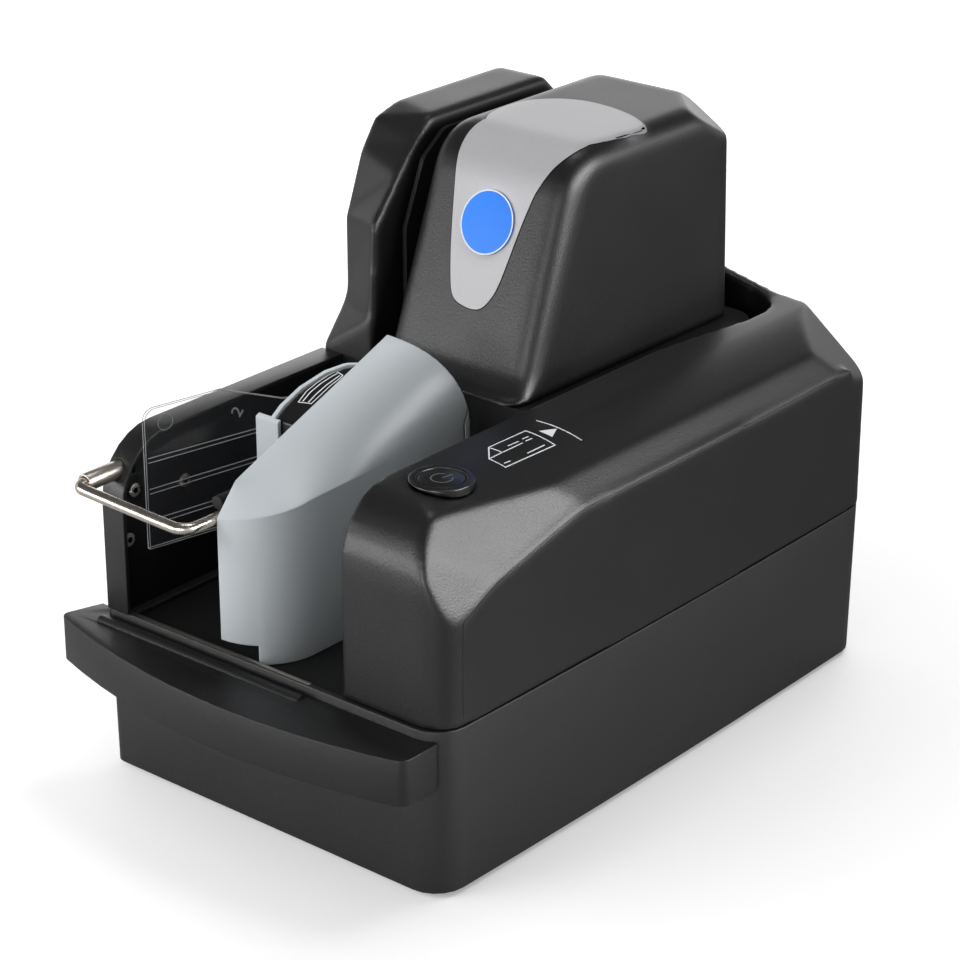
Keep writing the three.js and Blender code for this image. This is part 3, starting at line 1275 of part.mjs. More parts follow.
function makeBoard() {
  const x0 = -board.width / 2;
  const y1 = base.rear - board.rearInset;
  const y0 = y1 - board.depth;
  const top = board.low + board.thickness;
  let plate = box(x0, -x0, y0, y1, board.low, top);
  for (const share of [1 / 5, 1 / 2]) {
    const x = THREE.MathUtils.lerp(x0, -x0, share);
    plate = plate.add(box(x, x + board.chip, y0 + board.chip / 2, y0 + board.chip * 3 / 2, top - gap,
      board.low + board.thickness + board.chipHeight));
  }
  return plate;
}

function makePorts() {
  const low = board.low + board.thickness + gap;
  const rear = base.rear + gap;
  const jack = box(powerJack.x - powerJack.width / 2, powerJack.x + powerJack.width / 2,
    rear - powerJack.depth, rear, low, low + powerJack.height);
  const bore = lengthwise(powerJack.x, low + powerJack.height / 2, powerJack.bore,
    rear - powerJack.boreDepth, rear + overrun);
  add('power_jack', jack.subtract(bore), finishes.inner);
  const halfPort = usbPort.width / 2;
  const socket = box(usbPort.x - halfPort, usbPort.x + halfPort, rear - usbPort.depth, rear,
    low, low + usbPort.height);
  const mouth = box(usbPort.x - halfPort + usbPort.mouth, usbPort.x + halfPort - usbPort.mouth,
    rear - usbPort.mouthDepth, rear + overrun, low + usbPort.mouth,
    low + usbPort.height - usbPort.mouth);
  add('usb_port', socket.subtract(mouth), finishes.steel);
}

function buildBase() {
  add('base_tub', makeTub(), finishes.tub);
  add('deck_plate', makeDeck(), finishes.inner);
  makeFeet();
  add('front_tray', makeTray(), finishes.shell);
  add('front_strip', makeStrip(), finishes.silver);
}

function buildCovers() {
  add('right_cover', makeCover(), finishes.shell);
  add('side_panel', makePanel(), finishes.shell);
  add('transport_core', makeCore(), finishes.inner);
  add('tower_cover', makeTower(), finishes.shell);
  add('tower_inlay', makeInlay(), finishes.silver);
  add('round_badge', makeBadge(), finishes.blue);
  add('left_cover', makeLeftCover(), finishes.shell);
  add('exit_liner', makeLiner(), finishes.inner);
  makeButton();
}

function buildPockets() {
  add('left_wall', makeLeftWall(), finishes.shell);
  add('pocket_plate', makePocketPlate(), finishes.inner);
  makePocketScrews();
  add('hopper_guide', makeGuide(), finishes.grey);
  add('guide_insert', makeInsert(), finishes.inner);
  add('pocket_guide', makePocketGuide(), finishes.grey);
  add('wire_stop', makeWire(), finishes.steel);
  add('wire_sleeve', makeSleeve(), finishes.steel);
  add('wire_collar', makeCollar(), finishes.inner);
  makeDivider();
  makeGate();
}

function buildWorks() {
  makeRollers();
  makeDrive();
  makeReaders();
  makeCartridge();
  add('main_board', makeBoard(), finishes.board);
  makePorts();
}

buildBase();
buildCovers();
buildPockets();
buildWorks();

const bounds = new THREE.Box3().setFromObject(group);
const middle = bounds.getCenter(new THREE.Vector3());
group.position.set(-middle.x, -middle.y, -bounds.min.z);

export default group;
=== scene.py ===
"""Cheque scanner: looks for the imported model, laid out as an add-on and run as a script.

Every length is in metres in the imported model's own frame.
"""

import json
import math

import bpy
from bpy.props import FloatProperty, FloatVectorProperty, IntProperty, PointerProperty
from mathutils import Matrix, Vector

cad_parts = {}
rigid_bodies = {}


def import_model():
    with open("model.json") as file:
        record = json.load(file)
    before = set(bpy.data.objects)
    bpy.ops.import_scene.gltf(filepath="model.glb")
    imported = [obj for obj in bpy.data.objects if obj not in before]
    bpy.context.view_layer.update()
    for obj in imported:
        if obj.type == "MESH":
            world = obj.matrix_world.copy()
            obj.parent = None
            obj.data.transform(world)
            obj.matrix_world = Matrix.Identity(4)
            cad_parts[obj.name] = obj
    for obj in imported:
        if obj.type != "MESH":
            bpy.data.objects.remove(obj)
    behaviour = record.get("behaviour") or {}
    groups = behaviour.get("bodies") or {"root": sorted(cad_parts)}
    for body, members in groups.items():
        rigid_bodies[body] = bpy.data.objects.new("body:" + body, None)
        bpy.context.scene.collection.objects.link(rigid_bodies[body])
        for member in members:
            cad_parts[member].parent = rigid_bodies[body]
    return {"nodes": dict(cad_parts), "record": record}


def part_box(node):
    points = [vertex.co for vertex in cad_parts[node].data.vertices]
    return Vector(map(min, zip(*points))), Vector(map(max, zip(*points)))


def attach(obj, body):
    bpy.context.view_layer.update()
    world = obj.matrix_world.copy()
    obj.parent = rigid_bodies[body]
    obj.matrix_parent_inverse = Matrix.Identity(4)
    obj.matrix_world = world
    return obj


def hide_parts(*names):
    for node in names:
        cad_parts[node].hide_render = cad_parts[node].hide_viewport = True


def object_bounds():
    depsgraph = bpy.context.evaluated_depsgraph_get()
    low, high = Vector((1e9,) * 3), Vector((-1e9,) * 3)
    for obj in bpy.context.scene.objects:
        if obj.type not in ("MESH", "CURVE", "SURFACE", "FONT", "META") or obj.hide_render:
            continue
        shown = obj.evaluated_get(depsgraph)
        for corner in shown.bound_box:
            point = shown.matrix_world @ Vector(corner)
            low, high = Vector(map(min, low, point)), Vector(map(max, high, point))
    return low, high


bl_info = {
    "name": "Cheque scanner looks",
    "version": (1, 0, 0),
    "blender": (4, 5, 0),
    "location": "3D View > Sidebar > Scanner",
    "description": "Dresses the packed cheque scanner in soft edges, finishes and printed marks",
    "category": "Object",
}

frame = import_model()
cad_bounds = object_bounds()
MM = 0.001

# Bands of height over a cover's foot in which its skin goes from held to free
HEM_BAND = (1 * MM, 3 * MM)
SOFT_BAND = (2 * MM, 8 * MM)

# Smoothing passes just above a cover's foot, on the right-hand cover, and on the black insert
HEM_PASSES = 3
LONG_HEM_PASSES = 7
BLOCK_PASSES = 3

# Cuts between two corners of a rim, and the passes that round the corners of the inlay and of the panel
RIM_CUTS = 12
INLAY_ROUNDS = 40
PANEL_ROUNDS = 30

# Angles below which neighbouring faces are one face, one skin, or the side of one round rod
FLAT = math.radians(0.4)
SKIN_CREASE = math.radians(50)
ROD_CREASE = math.radians(70)

# Distances below which points are one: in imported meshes, in flat outlines, and across the divider's ribs
SAME_POINT = 0.01 * MM
SAME_OUTLINE_POINT = 0.001 * MM
RIB = 0.95 * MM

# Growth of the side panel, sideways and into the cover, so that the two melt into one skin
PANEL_MARGIN = 0.5 * MM
PANEL_DEPTH = 0.8 * MM

# Where the panel's seam stops short of the cover's rear and foot, and how deep a seam line is sunk
SEAM_END = 30 * MM
SEAM_FOOT = 3 * MM
SUNK = 0.7

# The silver sheet: room made in the tower's skin, start above it, lift, thickness and grid
TOWER_DROP = 0.25 * MM
INLAY_START = 30 * MM
INLAY_LIFT = 0.04 * MM
INLAY_HEIGHT = 0.16 * MM
INLAY_GRID = 2 * MM

# Marks: start above their target, lift off crisp faces and off skins, and grid
HELD_OVER = 5 * MM
LIFT = 0.01 * MM
SKIN_LIFT = 0.03 * MM
GRID = 1 * MM

# Widths of the frame and lines on the insert, and of the ring on the divider; least reach at a corner
BAND_FRAME = 0.4 * MM
BAND_LINE = 0.5 * MM
GATE_RING = 0.3 * MM
LEAST_REACH = 0.3

# The camera's way over the floor, and the side from which less plain light comes
AWAY = (0.64, 0.77, 0)
DIM_SIDE = (1.0, 0.7)

# Distances from the floor's middle: its far glow, and its dark part in reflections, with the share in front
FAR_START = 0.5
FAR_WIDTH = 1.2
BEHIND_START = 0.05
BEHIND_WIDTH = 0.25
NEAR_SHARE = 0.45

# Share of the sweep's height over which its white fades
SWEEP_FADE = 0.4


# Settings

def length(name, description, millimetres):
    return FloatProperty(name=name, description=description, default=millimetres * MM, unit="LENGTH")


def amount(name, description, default):
    return FloatProperty(name=name, description=description, default=default)


def paint(name, description, default):
    return FloatVectorProperty(name=name, description=description, default=default, size=3, subtype="COLOR")


class ScannerEdges(bpy.types.PropertyGroup):
    fine: length("Fine edge", "Rounding of small mouldings and trim", 0.4)
    usual: length("Usual edge", "Rounding of the shells' edges", 0.8)
    skin: length("Skin cell", "Cell of the even skin of the soft mouldings", 1.25)
    fine_skin: length("Fine skin cell", "Cell of the even skin of the guides", 0.85)
    passes: IntProperty(
        name="Softening", description="Smoothing passes of the soft mouldings", default=20, min=1)
    kept: amount("Kept faces", "Share of the even skin's faces that stay", 0.6)
    # The panel seam and the inlay gap are dark lines of painted shade
    seam: length("Panel seam", "Radius of the dark line in the seam round the side panel", 0.16)
    rim: length("Inlay gap", "Radius of the dark line in the gap round the silver inlay", 0.6)
    swell: length("Wire swell", "What the wire regains after its smoothing", 0.2)
    arm_width: length("Arm width", "From the hopper's side of the right-hand cover to its outside", 51)
    steps: IntProperty(
        name="Edge steps", description="Faces across one rounded edge", default=3, min=1, max=8)
    crease: FloatProperty(
        name="Crease angle", description="Edges sharper than this stay crisp", default=math.radians(32),
        subtype="ANGLE")


class ScannerMarks(bpy.types.PropertyGroup):
    line: length("Line", "Width of a printed line", 0.55)
    height: length("Height", "How far a mark stands off its surface", 0.06)
    badge_ring: length("Badge ring", "Width of the pale ring round the badge", 0.6)
    gate_ring: length("Gate mark", "Radius of the ring moulded on the divider", 3.6)
    symbol: length("Button symbol", "Radius of the open circle on the button", 4.2)
    figure: length("Figure", "Height of the figure on the divider", 8)
    # Painted glint: the divider's edges are drawn as grey tubes
    glint: length("Divider edge", "Width of the bright lines along the divider's edges", 0.32)
    # The hex socket is a flat hexagon of painted shade, not a recess
    socket: length("Hex socket", "Radius of the socket in a screw's head", 1.3)


class ScannerColours(bpy.types.PropertyGroup):
    shell: paint("Shells", "Black textured mouldings", (0.0072, 0.0072, 0.0076))
    tub: paint("Base", "The base, a little greyer than the shells", (0.011, 0.011, 0.0113))
    inner: paint("Inner parts", "Matt black parts inside", (0.004, 0.004, 0.0042))
    guide: paint("Guides", "Pale grey guides", (0.53, 0.57, 0.59))
    inlay: paint("Inlay", "Silver lacquer", (0.42, 0.415, 0.43))
    badge: paint("Badge", "Blue dome", (0.02, 0.235, 1.0))
    pale: paint("Print", "White ink", (0.82, 0.84, 0.87))
    nickel: paint("Bright metal", "Nickelled wire and trim", (0.56, 0.51, 0.45))
    divider: paint("Divider", "Clear moulding", (0.36, 0.37, 0.4))
    rubber: paint("Rubber", "Rollers, belt and feet", (0.02, 0.02, 0.02))
    board: paint("Circuit board", "Solder mask", (0.013, 0.1, 0.035))
    brass: paint("Pulleys", "Turned brass", (0.6, 0.42, 0.16))
    floor: paint("Floor", "Pale floor", (0.86, 0.86, 0.86))


class ScannerStage(bpy.types.PropertyGroup):
    place: FloatVectorProperty(
        name="Camera place", description="Where the camera stands", default=(0.744394, -0.885949, 0.611860),
        size=3, subtype="TRANSLATION")
    azimuth: FloatProperty(
        name="Azimuth", description="Turn of the camera round the object", default=math.radians(39.82),
        subtype="ANGLE")
    elevation: FloatProperty(
        name="Elevation", description="How steeply the camera looks down", default=math.radians(23.51),
        subtype="ANGLE")
    lens: amount("Lens", "Focal length in millimetres", 113.006)
    floor_size: length("Floor size", "Side of the floor", 9000)
    floor_glow: amount("Floor glow", "Added white where the floor is seen", 0.33)
    far_glow: amount("Far glow", "Further white away from the object", 0.6)
    floor_mirror: amount("Floor in gloss", "How much darker the floor behind is in reflections", 0.85)
    overhead: amount("Overhead", "Glossy light from above the white sweep", 0.1)
    sweep: amount("Sweep", "Height share at which the white sweep ends", 0.42)
    ambient: amount("Ambient", "Plain light from all round", 0.5)
    lean: amount("Lean", "How much brighter the left-hand side is", 0.45)
    key_watts: amount("Key lamp", "Soft light from above the rear", 8)
    front_watts: amount("Front card", "Bright card at the front left", 12)
    side_watts: amount("Side card", "Bright card at the right", 34)
    top_watts: amount("Top card", "Bright strip overhead", 3)
    rear_watts: amount("Rear card", "Wide low card behind the left-hand side", 3.8)
    edge_watts: amount("Edge card", "Low card at the front, seen in upright edges", 8)
    fill_watts: amount("Fill lamp", "Soft light from the front left", 8)


# Shader trees

def feed(tree, socket, value):
    """Links a signal to a socket, or sets the socket to a plain value."""
    if isinstance(value, Signal):
        tree.links.new(value.socket, socket)
    elif hasattr(value, "__len__") and len(value) == 3 and len(socket.default_value) == 4:
        socket.default_value = (*value, 1)
    else:
        socket.default_value = value


class Signal:
    """One output of a shader tree, which can stand in a plain expression."""

    def __init__(self, tree, socket):
        self.tree = tree
        self.socket = socket

    def maths(self, operation, first, second=0.0):
        node = self.tree.nodes.new("ShaderNodeMath")
        node.operation = operation
        feed(self.tree, node.inputs[0], first)
        feed(self.tree, node.inputs[1], second)
        return Signal(self.tree, node.outputs[0])

    def __add__(self, other):
        return self.maths("ADD", self, other)

    def __radd__(self, other):
        return self.maths("ADD", other, self)

    def __sub__(self, other):
        return self.maths("SUBTRACT", self, other)

    def __rsub__(self, other):
        return self.maths("SUBTRACT", other, self)

    def __mul__(self, other):
        return self.maths("MULTIPLY", self, other)

    def __rmul__(self, other):
        return self.maths("MULTIPLY", other, self)

    def __truediv__(self, other):
        return self.maths("DIVIDE", self, other)

    def __rtruediv__(self, other):
        return self.maths("DIVIDE", other, self)

    def clamped(self):
        return self.maths("MAXIMUM", self.maths("MINIMUM", self, 1.0), 0.0)

    def largest(self, other):
        return self.maths("MAXIMUM", self, other)


class Tree:
    """A shader tree in the making: one method adds any node, and the others name the usual ones."""

    def __init__(self, owner):
        owner.use_nodes = True
        self.tree = owner.node_tree
        self.tree.nodes.clear()

    def node(self, kind, output=0, settings=None, inputs=None):
        node = self.tree.nodes.new(kind)
        for key, value in (settings or {}).items():
            setattr(node, key, value)
        for key, value in (inputs or {}).items():
            feed(self.tree, node.inputs[key], value)
        return Signal(self.tree, node.outputs[output])

    def ends(self, kind, surface):
        output = self.tree.nodes.new(kind)
        feed(self.tree, output.inputs["Surface"], surface)

    def dot(self, first, second):
        return self.node(
            "ShaderNodeVectorMath", "Value", {"operation": "DOT_PRODUCT"}, {0: first, 1: second})

    def seen_directly(self):
        """One on rays from the camera, also through clear parts, and nought on the light on the object."""
        camera = self.node("ShaderNodeLightPath", "Is Camera Ray")
        return camera.largest(self.node("ShaderNodeLightPath", "Is Transmission Ray"))


class Finish(Tree):
    """A material's tree, with the patterns that the finishes share."""

    def __init__(self, name):
        self.material = bpy.data.materials.new(name)
        super().__init__(self.material)
        self.place = self.node("ShaderNodeTexCoord", "Object")

    def noise(self, scale, detail=2.0, roughness=0.5, place=None):
        return self.node("ShaderNodeTexNoise", 0, None, {
            "Vector": place or self.place, "Scale": scale, "Detail": detail, "Roughness": roughness})

    def stretched(self, scale):
        """Object coordinates drawn out along some axes, for brushed or drawn metal."""
        return self.node("ShaderNodeMapping", 0, None, {"Vector": self.place, "Scale": scale})

    def blend(self, share, first, second):
        return self.node("ShaderNodeMix", 2, {"data_type": "RGBA"}, {0: share, 6: first, 7: second})

    def soft_normal(self, radius):
        return self.node("ShaderNodeBevel", 0, {"samples": 4}, {"Radius": radius})

    def edge(self, softened, sharpness):
        """How far the softened normal leaves the true one: nought on flats, one on edges."""
        true = self.node("ShaderNodeNewGeometry", "Normal")
        return ((1.0 - self.dot(softened, true)) * sharpness).clamped()

    def bump(self, height, depth, normal=None):
        inputs = {"Strength": 1.0, "Distance": depth, "Height": height}
        if normal:
            inputs["Normal"] = normal
        return self.node("ShaderNodeBump", 0, None, inputs)

    def finish(self, sockets):
        self.ends("ShaderNodeOutputMaterial", self.node("ShaderNodeBsdfPrincipled", 0, None, sockets))
        return self.material


def colours():
    return bpy.context.scene.scanner_colours


def tinted(colour, share, more=0.0):
    """A colour made brighter or darker by a share, and lifted by so much more."""
    return tuple(min(1.0, c * share + more) for c in colour)


def moulded(name, colour, roughness, grain=0.03 * MM, coarse=1.0, wear=0.5, soften=0.6 * MM, specular=0.5):
    """Textured plastic: fine grain, slight clouding, and edges rubbed a little paler and smoother."""
    f = Finish(name)
    cloud = f.noise(26.0, 3.0)
    speck = f.noise(1150.0 * coarse, 2.0, 0.6)
    softened = f.soft_normal(soften)
    edge = f.edge(softened, 5.0)
    rubbed = (edge * (cloud * 1.6 - 0.2).clamped() * wear).clamped()
    shade = f.blend((cloud * 0.7 + speck * 0.3).clamped(), colour, tinted(colour, 1.35))
    return f.finish({
        "Base Color": f.blend(rubbed, shade, tinted(colour, 2.2, 0.02)),
        "Roughness": roughness - 0.04 + cloud * 0.08 - rubbed * 0.12,
        "Specular IOR Level": specular,
        "Normal": f.bump(speck, grain, softened),
    })


def guide_finish():
    """Pale grey plastic, nearly smooth, with a faint sheen."""
    colour = colours().guide
    f = Finish("pale grey guide")
    cloud = f.noise(20.0, 2.0)
    speck = f.noise(1600.0, 2.0)
    softened = f.soft_normal(0.7 * MM)
    rubbed = (f.edge(softened, 4.0) * 0.35).clamped()
    shade = f.blend(cloud, tinted(colour, 0.97), tinted(colour, 1.03))
    return f.finish({
        "Base Color": f.blend(rubbed, shade, tinted(colour, 1.25)),
        "Roughness": 0.36 + cloud * 0.05,
        "Specular IOR Level": 0.25,
        "Normal": f.bump(speck, 0.006 * MM, softened),
    })


def inlay_finish():
    """Silver lacquer: fine bright flakes under a satin skin."""
    colour = colours().inlay
    f = Finish("silver lacquer")
    cloud = f.noise(30.0, 2.0)
    flake = f.node("ShaderNodeTexVoronoi", 0, None, {"Vector": f.place, "Scale": 5200.0})
    softened = f.soft_normal(0.3 * MM)
    shade = f.blend((flake * 1.2).clamped(), tinted(colour, 1.12), tinted(colour, 0.86))
    return f.finish({
        "Base Color": shade,
        "Metallic": 0.1,
        "Roughness": 0.44 + cloud * 0.05,
        "Normal": f.bump(flake, 0.004 * MM, softened),
    })


def badge_finish():
    colour = colours().badge
    f = Finish("blue dome")
    cloud = f.noise(60.0, 2.0)
    return f.finish({
        "Base Color": f.blend(cloud, tinted(colour, 0.94), tinted(colour, 1.06)),
        "Roughness": 0.42 + cloud * 0.06,
        "Specular IOR Level": 0.18,
        "Normal": f.bump(f.noise(400.0), 0.003 * MM),
    })


def print_finish():
    f = Finish("white print")
    speck = f.noise(900.0, 3.0)
    return f.finish({
        "Base Color": f.blend(speck, tinted(colours().pale, 0.93), colours().pale),
        "Roughness": 0.5 + speck * 0.1,
        "Normal": f.bump(speck, 0.006 * MM),
    })


def metal(name, colour, roughness, scratch_scale, depth=0.004 * MM):
    """Drawn or brushed metal, its fine lines running across the larger scales."""
    f = Finish(name)
    lines = f.noise(1.0, 3.0, 0.6, f.stretched(scratch_scale))
    cloud = f.noise(70.0, 2.0)
    softened = f.soft_normal(0.25 * MM)
    shade = f.blend((lines * 0.5 + cloud * 0.5).clamped(), tinted(colour, 0.8), tinted(colour, 1.15))
    return f.finish({
        "Base Color": shade,
        "Metallic": 1.0,
        "Roughness": roughness - 0.05 + lines * 0.14,
        "Normal": f.bump(lines, depth, softened),
    })


def divider_finish():
    """Clear plastic, faintly hazed by handling."""
    f = Finish("clear divider")
    haze = f.noise(34.0, 3.0)
    return f.finish({
        "Base Color": f.blend(haze, colours().divider, tinted(colours().divider, 1.1)),
        "Roughness": 0.06 + haze * 0.06,
        "Alpha": 0.012 + haze * 0.014,
        "Normal": f.bump(haze, 0.01 * MM),
    })


def painted_glint_finish():
    """Painted glint and shade on the clear plastic's edges and marks: a mid grey that stands in for the light
    they catch and shows dark against white.
    """
    f = Finish("divider edge")
    patch = f.noise(60.0, 2.0)
    return f.finish({
        "Base Color": f.blend(patch, tinted(colours().divider, 0.6), (0.46, 0.47, 0.5)),
        "Roughness": 0.25 + patch * 0.1,
        "Normal": f.bump(patch, 0.01 * MM),
    })


def board_finish():
    """Green solder mask with faint copper runs below it."""
    f = Finish("solder mask")
    runs = f.node("ShaderNodeTexWave", 1, {"wave_type": "BANDS", "bands_direction": "X"}, {
        "Vector": f.place, "Scale": 160.0, "Distortion": 3.0, "Detail": 1.0})
    copper = ((runs - 0.75) * 6.0).clamped()
    return f.finish({
        "Base Color": f.blend(copper, colours().board, tinted(colours().board, 1.8, 0.01)),
        "Roughness": 0.35 + f.noise(200.0) * 0.1,
        "Normal": f.bump(copper, 0.02 * MM),
    })


# Every finish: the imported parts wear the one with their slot's name
FINISHES = {
    "shell": lambda: moulded("textured black shell", colours().shell, 0.40, grain=0.09 * MM, specular=0.42),
    "tub": lambda: moulded("textured black base", colours().tub, 0.46, grain=0.09 * MM, specular=0.45),
    "inner": lambda: moulded("matt black inner part", colours().inner, 0.55, grain=0.02 * MM, specular=0.3),
    "wall": lambda: moulded("smooth black pocket", colours().inner, 0.34, grain=0.008 * MM, specular=0.35),
    # Painted shade: near black and without gloss, it stands in for the shade in narrow gaps and screw sockets
    "gap": lambda: moulded("shade in a gap", (0.0008, 0.0008, 0.0008), 0.9, 0.0, wear=0.0, specular=0.0),
    "button": lambda: moulded(
        "satin black button", colours().inner, 0.26, grain=0.01 * MM, specular=0.6, soften=0.4 * MM),
    # Painted highlight: pale grey strokes that stand in for the glint on the engraved symbol's edges
    "symbol": lambda: moulded("worn button symbol", (0.11, 0.11, 0.115), 0.3, grain=0.0, soften=0.1 * MM),
    "rubber": lambda: moulded("matt rubber", colours().rubber, 0.7, grain=0.03 * MM, coarse=0.6, wear=0.2),
    "wire": lambda: metal("nickelled wire", colours().nickel, 0.24, (140.0, 500.0, 500.0), 0.0008 * MM),
    "steel": lambda: metal("bright steel", colours().nickel, 0.30, (900.0, 900.0, 120.0)),
    "silver": lambda: metal("brushed trim", colours().nickel, 0.33, (90.0, 1600.0, 1600.0)),
    "brass": lambda: metal("turned brass", colours().brass, 0.28, (700.0, 700.0, 2400.0)),
    "grey": guide_finish,
    "lacquer": inlay_finish,
    "blue": badge_finish,
    "print": print_finish,
    "clear": divider_finish,
    # Painted glint of the divider's edges and marks
    "glint": painted_glint_finish,
    "board": board_finish,
}


def finish_named(name):
    """The material of a finish, made on its first use and shared after that."""
    made = dict(bpy.context.scene.get("scanner_finishes") or {})
    if name not in made:
        made[name] = FINISHES[name]().name
        bpy.context.scene["scanner_finishes"] = made
    return bpy.data.materials[made[name]]


# Modelling steps

def only(*pieces):
    """Selects these pieces and nothing else, with the first one active."""
    if bpy.context.object and bpy.context.object.mode != "OBJECT":
        bpy.ops.object.mode_set(mode="OBJECT")
    bpy.ops.object.select_all(action="DESELECT")
    for piece in pieces:
        piece.select_set(True)
    bpy.context.view_layer.objects.active = pieces[0]


def opened(piece, action="SELECT", kind=None):
    """Opens one piece in edit mode, with all of it selected or none."""
    only(piece)
    bpy.ops.object.mode_set(mode="EDIT")
    if kind:
        bpy.ops.mesh.select_mode(type=kind)
    bpy.ops.mesh.select_all(action=action)


def chosen(piece, kind, parts, test):
    """Opens a piece with only those of its faces or vertices selected that pass a test."""
    opened(piece, "DESELECT", kind)
    closed()
    for part in getattr(piece.data, parts):
        part.select = test(part)
    bpy.ops.object.mode_set(mode="EDIT")


def delete_others(kind):
    """Deletes what isn't selected."""
    bpy.ops.mesh.select_all(action="INVERT")
    bpy.ops.mesh.delete(type=kind)


def closed():
    bpy.ops.object.mode_set(mode="OBJECT")


def merged_copy(node, name):
    """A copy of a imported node's mesh with its loose triangles merged into clean faces."""
    piece = bpy.data.objects.new(name, frame["nodes"][node].data.copy())
    bpy.context.scene.collection.objects.link(piece)
    opened(piece)
    bpy.ops.mesh.remove_doubles(threshold=SAME_POINT)
    bpy.ops.mesh.dissolve_limited(angle_limit=FLAT)
    closed()
    return piece


def modified(piece, kind, **settings):
    """Adds a modifier with these settings and applies it."""
    only(piece)
    modifier = piece.modifiers.new(kind.lower(), kind)
    for key, value in settings.items():
        setattr(modifier, key, value)
    bpy.ops.object.modifier_apply(modifier=modifier.name)
    return piece


def rounded(piece, width):
    """Rounds every edge sharper than the crease angle, and shades the rest smooth."""
    edges = bpy.context.scene.scanner_edges
    modified(piece, "BEVEL", width=width, segments=edges.steps, limit_method="ANGLE",
             angle_limit=edges.crease, miter_outer="MITER_ARC")
    return smoothed(piece)


def smoothed(piece, angle=None):
    only(piece)
    bpy.ops.object.shade_smooth_by_angle(angle=angle or bpy.context.scene.scanner_edges.crease)
    return piece


def dressed(piece, body, slot, finish, *nodes):
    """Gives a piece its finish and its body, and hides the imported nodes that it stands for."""
    piece.data.materials.clear()
    piece.data.materials.append(finish_named(finish))
    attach(piece, body)
    if nodes:
        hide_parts(*nodes)
    return piece


def body_of(node):
    """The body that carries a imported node."""
    groups = frame["record"]["behaviour"]["bodies"]
    return next(body for body, nodes in groups.items() if node in nodes)


def slot_of(node):
    """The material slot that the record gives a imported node."""
    return next(part["material_slot"] for part in frame["record"]["subparts"] if part["node"] == node)


def softened_copy(node, name, width, finish=None):
    """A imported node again, with rounded edges, in its slot's finish or in another one."""
    piece = rounded(merged_copy(node, name), width)
    return dressed(piece, body_of(node), slot_of(node), finish or slot_of(node), node)


# Pieces

class ScannerOperator:
    """What all the scanner's operators share."""
    bl_options = {"REGISTER", "UNDO"}


class SCANNER_OT_base(ScannerOperator, bpy.types.Operator):
    """Make the base, its feet, the front tray and the bright strip"""
    bl_idname = "scanner.base"
    bl_label = "Base and tray"

    def execute(self, context):
        edges = context.scene.scanner_edges
        softened_copy("base_tub", "base_shell", edges.usual)
        softened_copy("front_tray", "tray_shell", edges.usual)
        softened_copy("front_strip", "strip_trim", edges.fine)
        for number in range(1, 5):
            softened_copy(f"foot_{number}", f"foot_pad_{number}", edges.fine)
        return {"FINISHED"}


def grown_panel(node):
    """The side panel, grown past its clearance so that it melts into the cover round it."""
    piece = merged_copy(node, "panel_filler")
    low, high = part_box(node)
    middle = (low + high) / 2
    size = high - low
    opened(piece)
    growth = (1, 1 + 2 * PANEL_MARGIN / size.y, 1 + 2 * PANEL_MARGIN / size.z)
    bpy.ops.transform.resize(value=growth, center_override=middle)
    facing(piece, (-1, 0, 0), 0.9)
    bpy.ops.transform.translate(value=(-PANEL_DEPTH, 0, 0))
    closed()
    return piece


def facing(piece, direction, least):
    """Selects the faces turned towards a direction, and stays in edit mode."""
    chosen(piece, "FACE", "polygons", lambda face: face.normal.dot(Vector(direction)) > least)


def melted(name, cell, *pieces):
    """Joins pieces and remeshes them into one even skin."""
    only(*pieces)
    if len(pieces) > 1:
        bpy.ops.object.join()
    piece = pieces[0]
    piece.name = name
    return modified(piece, "REMESH", mode="VOXEL", voxel_size=cell, adaptivity=0.0)


def relaxed(piece, passes, weight):
    """Smooths a skin by a weight from nought to one, which a function gives for each place."""
    group = piece.vertex_groups.new(name="free")
    for vertex in piece.data.vertices:
        group.add([vertex.index], weight(vertex.co), "REPLACE")
    modified(piece, "SMOOTH", factor=0.5, iterations=passes, vertex_group=group.name)
    only(piece)
    bpy.ops.object.vertex_group_remove(all=True)
    return piece


def past(value, start, band):
    """Nought before a band that begins after the start, one behind it, and even in between."""
    near, far = (start + edge for edge in band)
    return min(1.0, max(0.0, (value - near) / (far - near)))


def soft_skin(name, cell, passes, *nodes):
    """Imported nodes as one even, softened skin, which keeps the lower rim in place."""
    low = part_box(nodes[0])[0]
    piece = melted(name, cell, *(merged_copy(node, name) for node in nodes))
    relaxed(piece, HEM_PASSES, lambda place: past(place.z, low.z, HEM_BAND))
    relaxed(piece, passes, lambda place: past(place.z, low.z, SOFT_BAND))
    return modified(piece, "DECIMATE", ratio=bpy.context.scene.scanner_edges.kept)


def lowered(piece, node):
    """Lowers a skin's top but not its foot, so that what lies on it stays within the node's height."""
    low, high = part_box(node)
    opened(piece)
    bpy.ops.transform.resize(value=(1, 1, 1 - TOWER_DROP / (high.z - low.z)), center_override=(0, 0, low.z))
    closed()
    return piece


def rim_path(node, direction, least, rounds):
    """The outer rim of a packed plate as a closed line, its corners rounded by so many passes."""
    path = merged_copy(node, f"{node}_rim")
    facing(path, direction, least)
    bpy.ops.mesh.region_to_loop()
    delete_others("EDGE")
    closed()
    lowest = min(path.data.vertices, key=lambda vertex: vertex.co.z).index
    chosen(path, "VERT", "vertices", lambda vertex: vertex.index == lowest)
    bpy.ops.mesh.select_linked()
    delete_others("VERT")
    bpy.ops.mesh.select_all(action="SELECT")
    bpy.ops.mesh.subdivide(number_cuts=RIM_CUTS)
    bpy.ops.mesh.vertices_smooth(factor=0.5, repeat=rounds)
    closed()
    return path


